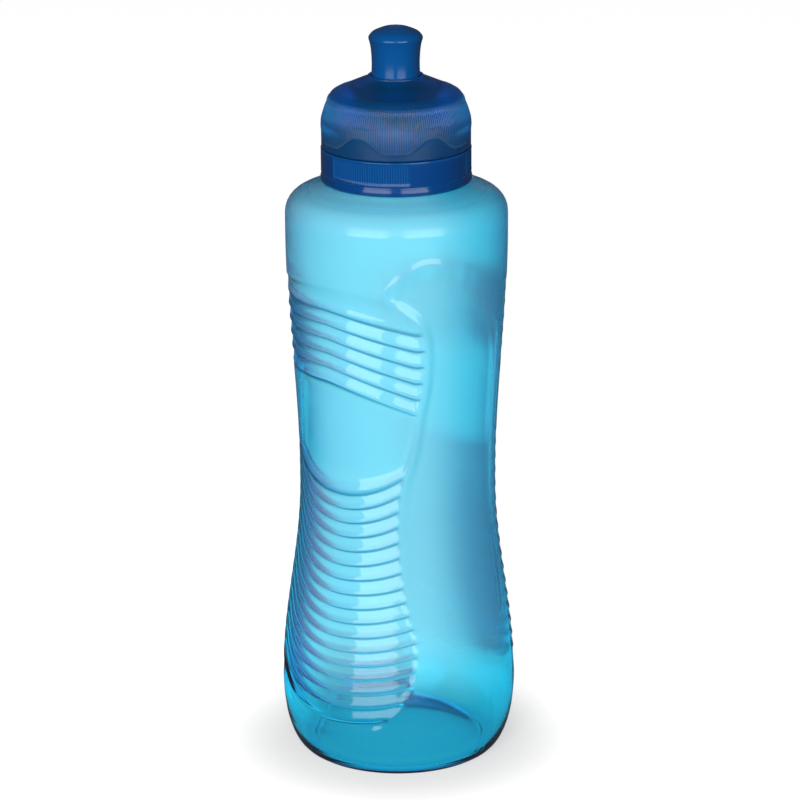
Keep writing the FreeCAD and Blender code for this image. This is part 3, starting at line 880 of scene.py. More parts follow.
@dataclass
class SqueezeShell:
    """The blow-moulded body: wall, shoulder, threaded neck and pushed-up base."""

    relief: GripRelief
    belly_height: float = 26.0
    heel_width: float = 9.0
    foot_width: float = 2.5
    waist_radius: float = 34.7
    waist_low: float = 100.0
    waist_high: float = 104.0
    shoulder_radius: float = 38.6
    shoulder_height: float = 190.0
    shoulder_straight: float = 7.0
    shoulder_round: float = 8.0
    shoulder_slope: float = 14.0
    wall: float = 1.2
    floor: float = 2.2
    push_up: float = 12.0
    push_up_edge: float = 2.4
    neck_radius: float = 21.8
    neck_wall: float = 2.0
    neck_height: float = 11.1
    thread_proud: float = 1.4
    thread_turns: float = 1.4
    thread_start: float = 2.2
    parting: float = 0.1
    steps: int = 256
    outside_mark: float = 100.0
    inside_mark: float = 90.0
    mark_reach: float = 2.0
    wall_foot: float = 4.4

    def __post_init__(self) -> None:
        """Takes the overall size from the frame."""
        low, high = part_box("bottle_body")
        self.belly_radius = max(-low.x, high.x) / MM - self.parting
        self.rim = high.z / MM
        self.neck_base = self.rim - self.neck_height
        self.foot_radius = self.belly_radius - self.heel_width
        self.arc_height = self.shoulder_height + self.shoulder_straight
        self.arc_centre = (self.shoulder_radius - self.shoulder_round, self.arc_height)

    def radius(self, height: np.ndarray, wall: float = 0.0, floor: float = 0.0) -> np.ndarray:
        """The plain wall's radius.

        Args:
            height: The heights.
            wall: How far inside the outer face, 0 for the outer face.
            floor: The height at which this face of the heel ends.

        Returns:
            The radius at each height.
        """
        drop = np.clip((self.belly_height - height) / (self.belly_height - floor), 0.0, 1.0)
        heel = self.foot_radius + (self.heel_width - wall) * np.sqrt(1.0 - drop**2)
        low_share = (height - self.belly_height) / (self.waist_low - self.belly_height)
        high_share = (height - self.waist_high) / (self.shoulder_height - self.waist_high)
        lower = blend(self.belly_radius, self.waist_radius, low_share) - wall
        upper = blend(self.waist_radius, self.shoulder_radius, high_share) - wall
        side = np.where(height < self.waist_low, lower, upper)
        return np.where(height < self.belly_height, heel, side)

    def _base(self, side: Wall) -> list[Point]:
        """The pushed-up base from the axis to the wall's foot.

        Args:
            side: Which face of the base.

        Returns:
            The outline's points.
        """
        inside = side is Wall.INSIDE
        rise = self.floor if inside else 0.0
        edge = self.foot_radius - self.foot_width - self.push_up_edge + (self.wall / 2.0 if inside else 0.0)
        climb = self.push_up - self.push_up_edge
        sphere = (edge**2 + climb**2) / (2.0 * climb)
        centre = (0.0, self.push_up + rise - sphere)
        last = math.degrees(math.acos(edge / sphere))
        dome = arc(centre, sphere, 90.0, last, 7 if inside else 9)
        ring = self.foot_radius - self.foot_width
        rim = rounded([(*dome[-1], 0.0), (ring, rise, 1.0), (self.foot_radius - 0.4, rise, 0.0)])[1:]
        share = np.array([0.4, 0.75] if inside else [0.25, 0.5, 0.72, 0.88])
        heights = rise + (self.wall_foot - rise) * share**2
        heel = self.radius(heights, self.wall if inside else 0.0, rise)
        return dome + rim + list(zip(heel.tolist(), heights.tolist()))

    def _outline(self) -> tuple[list[Point], list[int]]:
        """The shell's half section, with its two side walls set apart as straight marks.

        Returns:
            The points, and how many rows each stretch between them has.
        """
        grip = self.relief
        slope = math.radians(self.shoulder_slope)
        points = self._base(Wall.OUTSIDE)
        rows = [1] * len(points)
        outside = [
            (self.wall_foot, 9), (grip.heel, 5), (grip.lower_bottom, grip.lower_ridges * grip.rows_outside),
            (grip.lower_top, 20), (grip.upper_bottom, grip.upper_ridges * grip.rows_outside),
            (grip.upper_top, 8), (grip.crown, 14), (self.shoulder_height + 1.0, 3), (self.arc_height, 1),
        ]  # fmt: skip
        for level, count in outside:
            points.append((self.outside_mark, level))
            rows.append(count)
        shoulder = arc(self.arc_centre, self.shoulder_round, 12.0, 90.0 - self.shoulder_slope, 7)
        neck = rounded(
            [
                (*shoulder[-1], 0.0), (self.neck_radius, self.neck_base, 0.8),
                (self.neck_radius, self.neck_base + 1.0, 0.0),
            ]
        )[1:]  # fmt: skip
        points += shoulder + neck
        rows += [1] * (len(shoulder) - 1) + [2] + [1] * (len(neck) - 1) + [22]
        bore = self.neck_radius - self.neck_wall
        rim = rounded(
            [
                (self.neck_radius, self.rim - 1.0, 0.0), (self.neck_radius, self.rim, 0.5),
                (bore, self.rim, 0.5), (bore, self.rim - 1.0, 0.0),
            ]
        )  # fmt: skip
        points += rim
        rows += [1] * (len(rim) - 1) + [3]
        inner_round = self.shoulder_round - self.wall
        radius, height = self.arc_centre
        arc_end = (radius + inner_round * math.sin(slope), height + inner_round * math.cos(slope))
        bore_base = arc_end[1] + (arc_end[0] - bore) * math.tan(slope)
        under = rounded([(bore, bore_base + 1.5, 0.0), (bore, bore_base, 0.8), (*arc_end, 0.0)])[1:-1]
        shoulder = arc(self.arc_centre, inner_round, 90.0 - self.shoulder_slope, 15.0, 5)
        points += under + shoulder
        rows += [1] * (len(under) - 1) + [2] + [1] * len(shoulder)
        inside = [
            (self.arc_height, 4), (grip.crown, 3), (grip.upper_top, grip.upper_ridges * grip.rows_inside),
            (grip.upper_bottom, 8), (grip.lower_top, grip.lower_ridges * grip.rows_inside),
            (grip.lower_bottom, 3), (grip.heel, 5), (self.wall_foot, 1),
        ]  # fmt: skip
        for level, count in inside:
            points.append((self.inside_mark, level))
            rows.append(count)
        points += self._base(Wall.INSIDE)[::-1]
        return points, rows

    def _place(self, places: np.ndarray) -> np.ndarray:
        """Sets the marked walls to their radius with the grips in them, and raises the thread.

        Args:
            places: The turned places.

        Returns:
            The places of the finished shell.
        """
        angle, distance, level = polar(places)
        out = places.copy()
        for side, mark in ((Wall.OUTSIDE, self.outside_mark), (Wall.INSIDE, self.inside_mark)):
            marked = np.abs(distance - mark) < self.mark_reach
            inside = side is Wall.INSIDE
            height, deep = self.relief.shaped(angle[marked], level[marked], side)
            wall, floor = (self.wall, self.floor) if inside else (0.0, 0.0)
            radius = self.radius(height, wall, floor) - deep
            seam = np.abs(np.abs(angle[marked]) - 90.0) < 0.3
            radius = radius + (0.0 if inside else self.parting) * seam
            out[marked] = put(angle[marked], radius, height)
        neck = (np.abs(distance - self.neck_radius) < 0.05) & (level > self.neck_base + 0.9)
        rise = thread(angle[neck], level[neck], self.neck_base + self.thread_start, self.thread_turns)
        out[neck] = put(angle[neck], distance[neck] + rise * self.thread_proud, level[neck])
        return out

    def _on_shoulder(self, level: np.ndarray) -> np.ndarray:
        """Which levels lie between the walls and the neck."""
        return (level > self.arc_height) & (level < self.neck_base)

    def _painted_shade_lines(self, places: np.ndarray) -> np.ndarray:
        """The painted shade of the dark lines at the ridge steps of the outer wall, before the shell is
        moulded.
        """
        angle, distance, level = polar(places)
        marked = np.abs(distance - self.outside_mark) < self.mark_reach
        out = np.zeros(len(places))
        out[marked] = self.relief.painted_shade_lines(angle[marked], level[marked])
        return out

    def _veils(self, places: np.ndarray) -> np.ndarray:
        """The milky outer wall, clearer at the base, the ridges' deep left and the fingers' right."""
        angle, distance, level = polar(places)
        marked = np.abs(distance - self.outside_mark) < self.mark_reach
        out = np.clip((level - 24.0) / 22.0, 0.0, 1.0)
        for turned in both_grips(angle):
            deep = smooth_step(0.0, -35.0, turned) * smooth_step(-64.0, -56.0, turned)
            clear = smooth_step(52.0, 88.0, turned) * smooth_step(128.0, 118.0, turned)
            out = out * (1.0 - 0.85 * deep * (level < self.relief.upper_top)) * (1.0 - 0.6 * clear)
        shoulder = self._on_shoulder(level) & (distance < self.outside_mark - self.mark_reach)
        return np.where(marked | shoulder, out, 0.0)

    def _hazes(self, places: np.ndarray) -> np.ndarray:
        """The inner face of the wall and shoulder, clearing towards the base."""
        _, distance, level = polar(places)
        on_mark = np.abs(distance - self.inside_mark) < self.mark_reach
        shoulder = self._on_shoulder(level) & (distance < self.arc_centre[0] + 7.2)
        out = np.where(on_mark | shoulder, np.clip((level - 22.0) / 30.0, 0.0, 1.0), 0.0)
        off = np.hypot(distance - self.arc_centre[0], level - self.arc_height) - self.shoulder_round
        return np.where((np.abs(off) < 0.3) & (level > self.arc_height), 0.7, out)

    def build(self) -> bpy.types.Object:
        """Turns the shell, marks its inner face and the painted shade along its ridge steps, and moulds its
        grips.

        Returns:
            The body.
        """
        piece = Turning()
        points, rows = self._outline()
        piece.spin(piece.outline(points, rows), self.steps).close()
        # Marks the hazy inner face, the milky veil and the painted shade lines.
        piece.mark("inside", self._hazes).mark("veil", self._veils).mark("painted_light", self._painted_shade_lines)
        piece.shape(self._place)
        coat = CLEAR_SHELL.material()
        return piece.finish("squeeze_shell", "bottle", "bottle_body", "body_plastic", coat)


@dataclass
class ScrewCap:
    """The ribbed closure: skirt with its bead, deck with the snap bead, guide turret and thread."""

    skirt_bore: float = 23.6
    radius: float = 26.0
    bead_proud: float = 0.25
    bead_height: float = 3.4
    rib_deep: float = 0.45
    thread_proud: float = 1.3
    thread_turns: float = 1.2
    thread_drop: float = 6.65
    rib_start: float = -14.6
    ribs_per_sector: int = 33
    rib_pitch: float = 2.0
    deck: float = 2.0
    snap_radius: float = 24.3
    turret_radius: float = 10.7
    turret_bore: float = 8.7
    slot_half: float = 2.2
    stem_hole: float = 6.05
    steps: int = 720

    def __post_init__(self) -> None:
        """Takes the heights from the frame."""
        low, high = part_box("screw_cap")
        self.bottom = low.z / MM
        self.turret_top = high.z / MM
        self.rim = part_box("bottle_body")[1].z / MM
        self.deck_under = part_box("neck_gasket")[1].z / MM
        self.deck_top = self.deck_under + self.deck
        self.ring_top = self.deck_under + 0.05
        self.slot_bottom = self.deck_top + 7.0 - self.slot_half

    def _ribs(self, places: np.ndarray) -> np.ndarray:
        """Cuts the ribs of the skirt and raises the thread inside it.

        Args:
            places: The turned places.

        Returns:
            The places with ribs.
        """
        angle, distance, height = polar(places)
        on_skirt, in_sector, turn = self._sector(angle, distance)
        band = smooth_step(self.bottom + 4.0, self.bottom + 4.5, height)
        band = band * smooth_step(self.ring_top - 0.55, self.ring_top - 0.95, height)
        valley = np.sqrt(0.5 - 0.5 * np.cos(turn))
        cut = np.where(on_skirt & in_sector, self.rib_deep * band * valley, 0.0)
        in_bore = np.abs(distance - self.skirt_bore) < 0.05
        proud = self.thread_proud * thread(angle, height, self.rim - self.thread_drop, self.thread_turns)
        return put(angle, distance - cut - np.where(in_bore, proud, 0.0), height)

    def _sector(self, angle: np.ndarray, distance: np.ndarray) -> tuple[np.ndarray, np.ndarray, np.ndarray]:
        """Which places are on the skirt and in a ribbed sector, and their turn within a rib.

        Args:
            angle: The azimuths.
            distance: The distances from the axis.

        Returns:
            Two arrays of yes and no, and the turn in radians.
        """
        local = wrapped(angle - self.rib_start + self.rib_pitch / 2.0, 0.0, 120.0)
        on_skirt = np.abs(distance - self.radius) < 0.3
        return on_skirt, local < self.ribs_per_sector * self.rib_pitch, 2.0 * np.pi * local / self.rib_pitch

    def _painted_lights(self, places: np.ndarray) -> np.ndarray:
        """Painted highlights: the light crests of the ribs, and the light line round the top of the skirt."""
        angle, distance, height = polar(places)
        on_skirt, in_sector, turn = self._sector(angle, distance)
        band = smooth_step(self.bottom + 3.9, self.bottom + 4.5, height)
        band = band * smooth_step(self.ring_top - 0.4, self.ring_top - 0.95, height)
        crest = (0.5 + 0.5 * np.cos(turn)) ** 2
        edge = smooth_step(0.5, 0.1, np.abs(height - self.ring_top + 0.25)) * 0.5
        return np.where(on_skirt, np.maximum(crest * band * in_sector, edge), 0.0)

    def build(self) -> bpy.types.Object:
        """Turns the skirt and deck, then the turret with its slot.

        Returns:
            The cap.
        """
        bead = self.radius + self.bead_proud
        bead_top = self.bottom + self.bead_height
        section = [
            (self.skirt_bore, self.bottom, 0.0), (self.skirt_bore + 1.0, self.bottom, 0.0),
            (self.radius - 0.9, self.bottom, 0.2), (bead - 0.35, self.bottom + 0.25, 0.3),
            (bead, self.bottom + 1.0, 0.7), (bead - 0.06, self.bottom + 2.0, 0.5),
            (self.radius - 0.12, bead_top - 0.5, 0.5), (self.radius - 0.3, bead_top - 0.1, 0.3),
            (self.radius, bead_top + 0.3, 0.3), (self.radius, self.bottom + 4.1, 0.0),
            (self.radius, self.bottom + 4.6, 0.0), (self.radius, self.bottom + 4.9, 0.0),
            (self.radius, self.ring_top - 1.3, 0.0), (self.radius, self.ring_top - 1.0, 0.0),
            (self.radius, self.ring_top - 0.5, 0.0),
            (self.radius, self.ring_top, 0.3), (self.snap_radius, self.ring_top, 0.2),
            (self.snap_radius, self.ring_top + 0.6, 0.0), (self.snap_radius + 0.45, self.ring_top + 1.1, 0.3),
            (self.snap_radius, self.ring_top + 1.6, 0.0), (self.snap_radius, self.deck_top, 0.3),
            (self.snap_radius - 2.0, self.deck_top, 0.0), (self.stem_hole, self.deck_top, 0.0),
            (self.stem_hole, self.deck_under, 0.0), (self.skirt_bore, self.deck_under, 0.6),
            (self.skirt_bore, self.deck_under - 1.0, 0.0),
        ]  # fmt: skip
        points = rounded(section)
        rows = [1] * (len(points) - 1) + [26]
        piece = Turning()
        piece.spin(piece.outline(points, rows, closed=True), self.steps).close()
        # Marks the painted highlights, then cuts the ribs.
        piece.mark("painted_light", self._painted_lights).shape(self._ribs)
        self._turret(piece)
        coat = CAP_BLUE.material()
        return piece.finish("screw_cap_shell", "cap", "screw_cap", "cap_plastic", coat)

    def _turret(self, piece: Turning) -> None:
        """Adds the guide turret: a ring below the slot and two half rings beside it.

        Args:
            piece: The cap to add it to.
        """
        middle = (self.turret_radius + self.turret_bore) / 2.0
        opening = 2.0 * math.degrees(math.asin(self.slot_half / middle))
        parts = [(self.deck_top - 0.3, self.slot_bottom, 0.0, FULL_TURN, 96)]
        for start in (90.0 + opening / 2.0, 270.0 + opening / 2.0):
            parts.append((self.slot_bottom - 0.3, self.turret_top, start, HALF_TURN - opening, 44))
        for low, high, start, sweep, steps in parts:
            ring = Turning()
            edges = ring.outline(
                rounded(
                    [
                        (self.turret_bore, low, 0.0), (self.turret_radius, low, 0.0),
                        (self.turret_radius, high, 0.4), (self.turret_bore, high, 0.4),
                        (self.turret_bore, low + 0.1, 0.0),
                    ]
                ),
                closed=True,
            )  # fmt: skip
            if sweep < FULL_TURN:
                ring.mesh.faces.new(sort_loop(edges))
            ring.spin(edges, steps, sweep, start).close()
            data = bpy.data.meshes.new("turret_part")
            ring.mesh.to_mesh(data)
            ring.mesh.free()
            piece.mesh.from_mesh(data)
            bpy.data.meshes.remove(data)


def sort_loop(edges: Sequence) -> list:
    """The verts of a closed outline in order.

    Args:
        edges: The outline's edges.

    Returns:
        Its verts, each next to its neighbours.
    """
    first = edges[0].verts[0]
    order, last = [first], None
    while True:
        here = order[-1]
        follow = [e for e in here.link_edges if e is not last and e in edges]
        if not follow:
            return order
        last = follow[0]
        other = last.other_vert(here)
        if other is first:
            return order
        order.append(other)


@dataclass
class TwistDome:
    """The translucent dome that turns, with its fine ribs, wavy hem, roof and collar."""

    bore: float = 24.6
    wall: float = 1.45
    rib_count: int = 200
    rib_deep: float = 0.30
    band_proud: float = 0.26
    lobes: int = 6
    wave_low: float = 222.8
    wave_high: float = 227.9
    wave_azimuth: float = 39.5
    collar_radius: float = 9.6
    collar_hole: float = 8.7
    socket_bore: float = 13.65
    socket_wall: float = 1.5
    socket_deep: float = 4.5
    bulge: float = 0.35
    roof_line: float = 1.7
    steps: int = 800

    def __post_init__(self) -> None:
        """Takes the overall size from the frame."""
        low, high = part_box("twist_dome")
        self.radius = high.x / MM
        self.skin = self.radius - self.band_proud
        self.bottom = low.z / MM
        self.top = high.z / MM
        self.collar = self.top - 0.7
        self.seat = self.collar - 3.9
        self.edge = self.collar - 5.4
        self.taper = self.edge - 2.5
        self.crease = self.taper - 8.0
        self.taper_radius = self.radius - 2.35
        self.edge_radius = self.taper_radius - 1.4
        self.hem = (self.wave_low + self.wave_high) / 2.0

    def _wave(self, angle: np.ndarray) -> np.ndarray:
        """The hem's height above its middle.

        Args:
            angle: The azimuths.

        Returns:
            The rise at each azimuth.
        """
        span = FULL_TURN / self.lobes
        off = np.abs(wrapped(angle - self.wave_azimuth, -span / 2.0, span))
        share = np.clip((off - 7.0) / (span / 2.0 - 8.5), 0.0, 1.0)
        return blend(self.wave_low, self.wave_high, share) - self.hem

    def _side(self, distance: np.ndarray, level: np.ndarray) -> tuple[np.ndarray, np.ndarray]:
        """Which places are on the outside of the wall, and how far each is in the ribbed band.

        Args:
            distance: The distances from the axis.
            level: The rows' levels.

        Returns:
            An array of yes and no, and the share of the band from 0 to 1.
        """
        inner = np.interp(level, [self.crease, self.taper], [self.bore, self.taper_radius - self.wall])
        outside = (distance > inner + 0.7) & (level < self.edge + 0.5)
        low = smooth_step(self.hem - 0.3, self.hem + 0.1, level)
        return outside, low * smooth_step(self.edge - 0.4, self.edge - 1.6, level)

    def _ribs(self, places: np.ndarray) -> np.ndarray:
        """Bends the rows to the wavy hem and raises the ribbed band above it.

        Args:
            places: The turned places.

        Returns:
            The places with ribs.
        """
        angle, distance, level = polar(places)
        outside, band = self._side(distance, level)
        bend = np.interp(level, [self.bottom + 0.6, self.hem, self.crease + 5.0], [0.0, 1.0, 0.0])
        height = np.where(outside, level + bend * self._wave(angle), level)
        run = (self.radius - self.taper_radius) / (self.taper - self.crease)
        above = height - self.crease
        soft = np.where(np.abs(above) < 1.8, (above + 1.8) ** 2 / 7.2, np.maximum(above, 0.0))
        full = np.sin(np.pi * np.clip(above / (self.taper - self.crease), 0.0, 1.0))
        plain = self.radius - run * soft + self.bulge * full
        on_side = outside & (level < self.taper - 0.3)
        sunk = plain - self.band_proud
        distance = np.where(on_side & (level > self.bottom + 0.5), sunk, distance)
        ledge = 0.08 * smooth_step(231.4, 231.0, height)
        ribs = self.rib_deep * (0.5 - 0.5 * np.cos(np.radians(angle) * self.rib_count))
        fade = 1.0 - 0.45 * smooth_step(231.2, 230.8, height)
        rise = band * (self.band_proud - 0.08 + ledge - ribs * fade)
        distance = np.where(outside, distance + rise, distance)
        return put(angle, distance, height)

    def _painted_lights(self, places: np.ndarray) -> np.ndarray:
        """Painted highlights: the light crests of the ribs, lighter in the upper band, and the light line along
        the hem, before the dome is moulded.
        """
        angle, distance, level = polar(places)
        outside, band = self._side(distance, level)
        crest = (0.5 + 0.5 * np.cos(np.radians(angle) * self.rib_count)) ** 2
        upper = 0.6 + 0.4 * smooth_step(self.crease + 1.5, self.crease + 3.5, level)
        hem = 0.8 * smooth_step(0.35, 0.1, np.abs(level - self.hem - 0.05))
        return np.where(outside, np.maximum(band * crest * upper, hem), 0.0)

    def build(self) -> bpy.types.Object:
        """Turns the dome and cuts its ribs.

        Returns:
            The dome.
        """
        roof = math.atan2(self.collar - self.edge, self.edge_radius - self.collar_radius)
        drop = self.wall / math.cos(roof)
        rise = (self.collar - 0.9 - self.edge) / (self.edge_radius - self.collar_radius - 2.5)
        line = self.edge + self.roof_line * rise
        ring = self.edge_radius - self.roof_line
        socket = self.socket_bore + self.socket_wall
        inside_edge = self.edge_radius - self.wall / 2.0
        socket_top = self.collar - drop - (socket - self.collar_radius) * math.tan(roof)
        edge_inside = self.collar - drop - (inside_edge - self.collar_radius) * math.tan(roof)
        side = [
            (self.skin - 0.2, self.bottom), (self.skin, self.bottom + 0.3),
            (self.skin, self.bottom + 0.6), (self.skin, self.hem - 0.35),
            (self.skin, self.hem + 0.15), (self.skin, self.crease + 5.0),
            (self.taper_radius, self.taper - 0.4),
        ]  # fmt: skip
        side_rows = [1, 1, 5, 3, 12, 4]
        top = rounded(
            [
                (self.taper_radius, self.taper - 0.4, 0.0), (self.taper_radius - 0.25, self.taper + 0.5, 0.5),
                (self.edge_radius, self.edge, 1.2), (ring + 0.35, line - 0.35 * rise, 0.0),
                (ring, line + 0.15, 0.0), (ring - 0.35, line + 0.35 * rise, 0.0),
                (self.collar_radius + 2.5, self.collar - 0.9, 0.0),
                (self.collar_radius, self.collar, 0.5), (self.collar_radius, self.top, 0.25),
                (self.collar_hole, self.top, 0.25), (self.collar_hole, self.seat, 0.0),
                (self.socket_bore, self.seat, 0.0), (self.socket_bore, self.seat - self.socket_deep, 0.0),
                (socket, self.seat - self.socket_deep, 0.0), (socket, socket_top, 0.5),
                (inside_edge, edge_inside, 0.8), (self.taper_radius - self.wall, self.taper, 0.8),
                (self.bore, self.crease, 0.8), (self.bore, self.bottom, 0.0),
            ],
            4,
        )[1:]  # fmt: skip
        points = side + top
        rows = side_rows + [1] * (len(points) - len(side_rows))
        piece = Turning()
        piece.spin(piece.outline(points, rows, closed=True), self.steps).close()
        # Marks the painted highlights, then bends and ribs the dome.
        piece.mark("painted_light", self._painted_lights).shape(self._ribs)
        coat = DOME_BLUE.material()
        return piece.finish("twist_dome_shell", "dome", "twist_dome", "dome_plastic", coat)


@dataclass
class Spout:
    """The mouthpiece: waisted stem, rolled lip, crowned top with its hole, and two cam lugs."""

    bore: float = 6.4
    foot_radius: float = 8.4
    waist: float = 8.15
    hole: float = 3.15
    lug_radius: float = 1.9
    lug_height: float = 3.0
    steps: int = 128

    def __post_init__(self) -> None:
        """Takes the overall size from the frame."""
        low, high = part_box("spout")
        self.bottom = low.z / MM
        self.top = high.z / MM
        self.lip_radius = max(-low.y, high.y) / MM
        self.lug_reach = max(-low.x, high.x) / MM
        self.lug_level = self.bottom + self.lug_height
        self.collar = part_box("twist_dome")[1].z / MM
        self.lip = self.top - 3.6

    def build(self) -> bpy.types.Object:
        """Turns the mouthpiece and sets its lugs.

        Returns:
            The spout.
        """
        reach = self.lip - self.collar
        crown_inside = self.top - 3.2
        section = [
            (self.foot_radius, self.bottom, 0.0), (self.foot_radius, self.collar - 1.0, 0.0),
            (self.waist, self.collar + 0.40 * reach, 4.2), (self.waist + 0.55, self.lip - 2.2, 2.2),
            (self.lip_radius + 0.3, self.lip + 0.1, 0.8), (self.lip_radius - 1.1, self.lip + 1.9, 1.1),
            (self.lip_radius - 4.0, self.top - 0.45, 1.6), (self.hole + 0.7, self.top - 0.02, 0.4),
            (self.hole, self.top - 0.1, 0.15), (self.hole, crown_inside, 0.3),
            (self.bore, crown_inside - 0.4, 1.0), (self.bore, self.bottom, 0.0),
        ]  # fmt: skip
        points = rounded(section, 5)
        rows = [2] * (len(points) - 1) + [1]
        piece = Turning()
        piece.spin(piece.outline(points, rows, closed=True), self.steps).close()
        for turn in (0.0, math.pi):
            self._lug(piece, turn)
        coat = SPOUT_BLUE.material()
        return piece.finish("spout_shell", "spout", "spout", "spout_plastic", coat)

    def _lug(self, piece: Turning, turn: float) -> None:
        """Adds one cam lug with a bevelled end.

        Args:
            piece: The spout to add it to.
            turn: Its direction about the axis.
        """
        root = (self.bore + self.foot_radius) / 2.0
        length = self.lug_reach - root
        ends = {"radius1": self.lug_radius, "radius2": self.lug_radius}
        made = bmesh.ops.create_cone(piece.mesh, cap_ends=True, segments=32, depth=length, **ends)
        ends = {edge for vert in made["verts"] for edge in vert.link_edges if vert.co.z > 0}
        ends = [edge for edge in ends if all(v.co.z > 0 for v in edge.verts)]
        cut = bmesh.ops.bevel(
            piece.mesh, geom=ends, offset=0.3, affect="EDGES", segments=2, profile=0.5, material=-1
        )
        verts = {v for v in made["verts"] if v.is_valid} | set(cut["verts"])
        place = (
            Matrix.Rotation(turn, 4, "Z")
            @ Matrix.Translation((root + length / 2.0, 0.0, self.lug_level))
            @ Matrix.Rotation(math.pi / 2.0, 4, "Y")
        )
        bmesh.ops.transform(piece.mesh, matrix=place, verts=list(verts))


@dataclass
class InnerWorks:
    """The carried solids inside the cap and dome, and their finishes."""

    def dress(self) -> None:
        """Gives each carried solid its material."""
        for finish, slot, nodes in (
            (INNER_BLUE, "inner_plastic", ("valve_stem", "cam_sleeve")),
            (SEAL_PALE, "seal_silicone", ("neck_gasket", "stem_o_ring")),
        ):
            coat = finish.material()
            for node in nodes:
                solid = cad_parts[node]
                solid.data.materials.clear()
                solid.data.materials.append(coat)
                LOG.info("%s: carried solid, %s", node, coat.name)


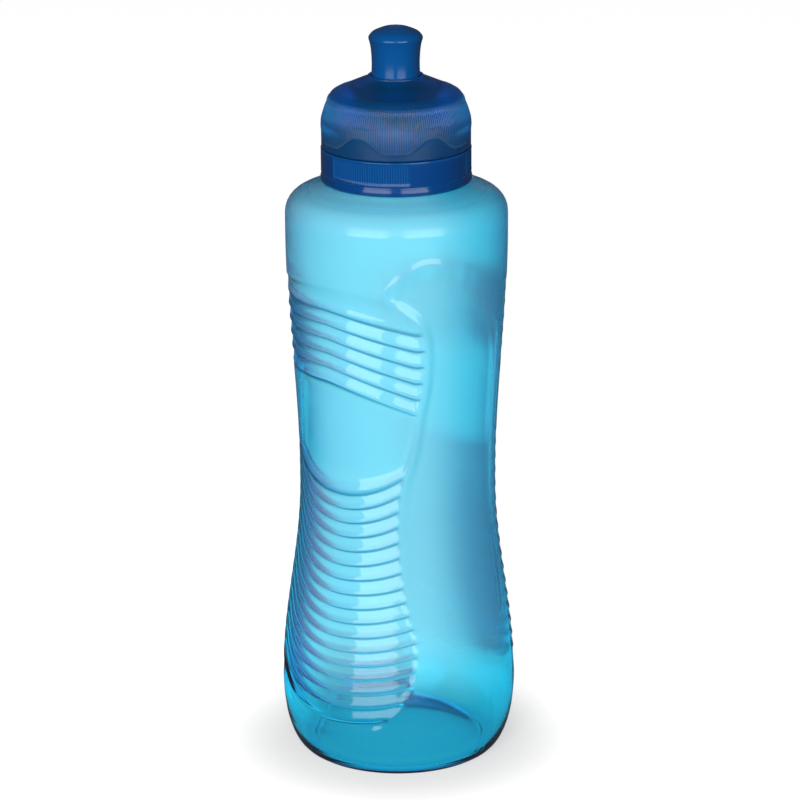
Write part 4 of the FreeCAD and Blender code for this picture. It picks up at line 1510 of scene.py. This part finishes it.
@dataclass
class Studio:
    """The pale floor, the two softboxes, the white surroundings and the camera."""

    view_azimuth: float = 40.0
    view_elevation: float = 17.7
    distance: float = 1.2586
    aim_height: float = 0.1281
    lens: float = 161.0
    aside: float = 0.0009
    roll: float = -0.28
    softbox_azimuths: tuple[float, float] = (-29.0, 28.0)
    softbox_distance: float = 1.3
    softbox_size: tuple[float, float] = (0.98, 0.78)
    softbox_height: float = 0.43
    softbox_glow: float = 3.8
    fill_azimuth: float = -8.0
    fill_distance: float = 1.6
    fill_height: float = 0.75
    fill_size: float = 0.9
    fill_power: float = 64.0
    surroundings: float = 1.1
    dim_room: float = 0.07
    # Painted contact shadow: the floor glows less within the first distance and fully beyond the second.
    floor_glow_with_painted_shadow: tuple[float, float, float, float] = (0.034, 0.075, 0.58, 0.95)

    def _beside(self, turn: float, distance: float, height: float) -> Vector:
        """A place round the bottle.

        Args:
            turn: The azimuth from the camera's.
            distance: The distance from the axis.
            height: The height above the floor.

        Returns:
            The place.
        """
        angle = math.radians(self.view_azimuth + turn)
        return Vector((math.sin(angle) * distance, -math.cos(angle) * distance, height))

    def camera(self) -> None:
        """Sets up the camera at the viewing angle."""
        tilt = math.radians(self.view_elevation)
        back = self._beside(0.0, math.cos(tilt), math.sin(tilt))
        turn = math.radians(self.view_azimuth)
        across = Vector((math.cos(turn), math.sin(turn), 0.0))
        aim = Vector((0.0, 0.0, self.aim_height)) + across * self.aside
        data = bpy.data.cameras.new("camera")
        data.lens = self.lens
        data.sensor_width = 36.0
        data.clip_start = 0.05
        data.clip_end = 20.0
        camera = bpy.data.objects.new("camera", data)
        bpy.context.scene.collection.objects.link(camera)
        facing = (-back).to_track_quat("-Z", "Y").to_matrix()
        roll = Matrix.Rotation(math.radians(self.roll), 3, "Z")
        camera.matrix_world = Matrix.Translation(aim + back * self.distance) @ (facing @ roll).to_4x4()
        bpy.context.scene.camera = camera

    def _area(self, name: str, place: Vector, aim: Vector, size: Point, power: float) -> bpy.types.Object:
        """Stands an area light at a place.

        Args:
            name: The light's name.
            place: Where it stands.
            aim: What it is aimed at.
            size: Its width and height.
            power: Its power in watts.

        Returns:
            The light.
        """
        data = bpy.data.lights.new(name, "AREA")
        data.shape = "RECTANGLE"
        data.size, data.size_y = size
        data.energy = power
        light = bpy.data.objects.new(name, data)
        bpy.context.scene.collection.objects.link(light)
        facing = (aim - place).to_track_quat("-Z", "Y").to_matrix().to_4x4()
        light.matrix_world = Matrix.Translation(place) @ facing
        return light

    def lights(self) -> None:
        """Stands the two softboxes beside the camera, and a fill light that leaves no reflection."""
        power = self.softbox_glow * math.pi * self.softbox_size[0] * self.softbox_size[1]
        for side, turn in zip(("left", "right"), self.softbox_azimuths):
            place = self._beside(turn, self.softbox_distance, self.softbox_height)
            aim = Vector((0.0, 0.0, self.softbox_height))
            self._area(f"softbox_{side}", place, aim, self.softbox_size, power)
        place = self._beside(self.fill_azimuth, self.fill_distance, self.fill_height)
        aim = Vector((0.0, 0.0, self.aim_height))
        fill = self._area("fill", place, aim, (self.fill_size, self.fill_size), self.fill_power)
        fill.visible_glossy = False
        fill.visible_transmission = False
        self._surroundings()

    def _surroundings(self) -> None:
        """Makes the room: white where it is seen directly, dim where the bottle mirrors it."""
        world = bpy.data.worlds.new("studio_room")
        nodes = Nodes(world)
        white = nodes.tree.nodes["Background"]
        nodes.feed(white, {"Color": (1.0, 1.0, 1.0, 1.0), "Strength": self.surroundings}, {})
        dim = nodes.add("Background", {"Color": (0.9, 0.95, 1.0, 1.0), "Strength": self.dim_room}, {})
        seen = nodes.add("LightPath", {}, {}).outputs["Is Camera Ray"]
        rooms = {0: seen, 1: dim.outputs["Background"], 2: white.outputs["Background"]}
        mix = nodes.add("MixShader", {}, rooms)
        nodes.feed(nodes.tree.nodes["World Output"], {}, {"Surface": mix.outputs["Shader"]})
        bpy.context.scene.world = world

    def floor(self) -> None:
        """Lays the pale floor, whose glow drops under the bottle as a painted contact shadow."""
        bm = bmesh.new()
        bmesh.ops.create_circle(bm, cap_ends=True, segments=96, radius=6.0)
        data = bpy.data.meshes.new("floor")
        bm.to_mesh(data)
        bm.free()
        floor = bpy.data.objects.new("floor", data)
        bpy.context.scene.collection.objects.link(floor)
        coat = bpy.data.materials.new("pale_floor")
        nodes = Nodes(coat)
        where = nodes.add("TexCoord", {}, {}).outputs["Object"]
        reach = nodes.add("VectorMath", {}, {0: where})
        reach.operation = "LENGTH"
        # The glow rises from the painted contact shadow under the bottle to the full glow further out.
        glow = dict(zip(("From Min", "From Max", "To Min", "To Max"), self.floor_glow_with_painted_shadow))
        shade = nodes.add("MapRange", glow, {"Value": reach.outputs["Value"]})
        shade.interpolation_type = "SMOOTHSTEP"
        colour = nodes.ramp(nodes.noise(where, 3.0, 2.0), (0.0, (0.15,) * 3), (1.0, (0.17,) * 3))
        values = {"Roughness": 0.9, "Specular IOR Level": 0.0, "Emission Color": (1.0, 1.0, 1.0, 1.0)}
        joins = {"Base Color": colour, "Emission Strength": shade.outputs["Result"]}
        nodes.feed(nodes.tree.nodes["Principled BSDF"], values, joins)
        data.materials.append(coat)
        floor.visible_glossy = False
        floor.visible_diffuse = False

    def build(self) -> None:
        """Sets up the whole studio."""
        scene = bpy.context.scene
        scene.view_settings.view_transform = "Standard"
        scene.cycles.max_bounces = 24
        scene.cycles.transmission_bounces = 24
        scene.cycles.glossy_bounces = 8
        self.camera()
        self.lights()
        self.floor()


def main() -> None:
    """Builds the bottle from its pieces, in order, and the studio round it."""
    logging.basicConfig(level=logging.INFO, format="%(name)s %(message)s")
    SqueezeShell(GripRelief()).build()
    ScrewCap().build()
    TwistDome().build()
    Spout().build()
    InnerWorks().dress()
    Studio().build()


if __name__ == "__main__":
    main()
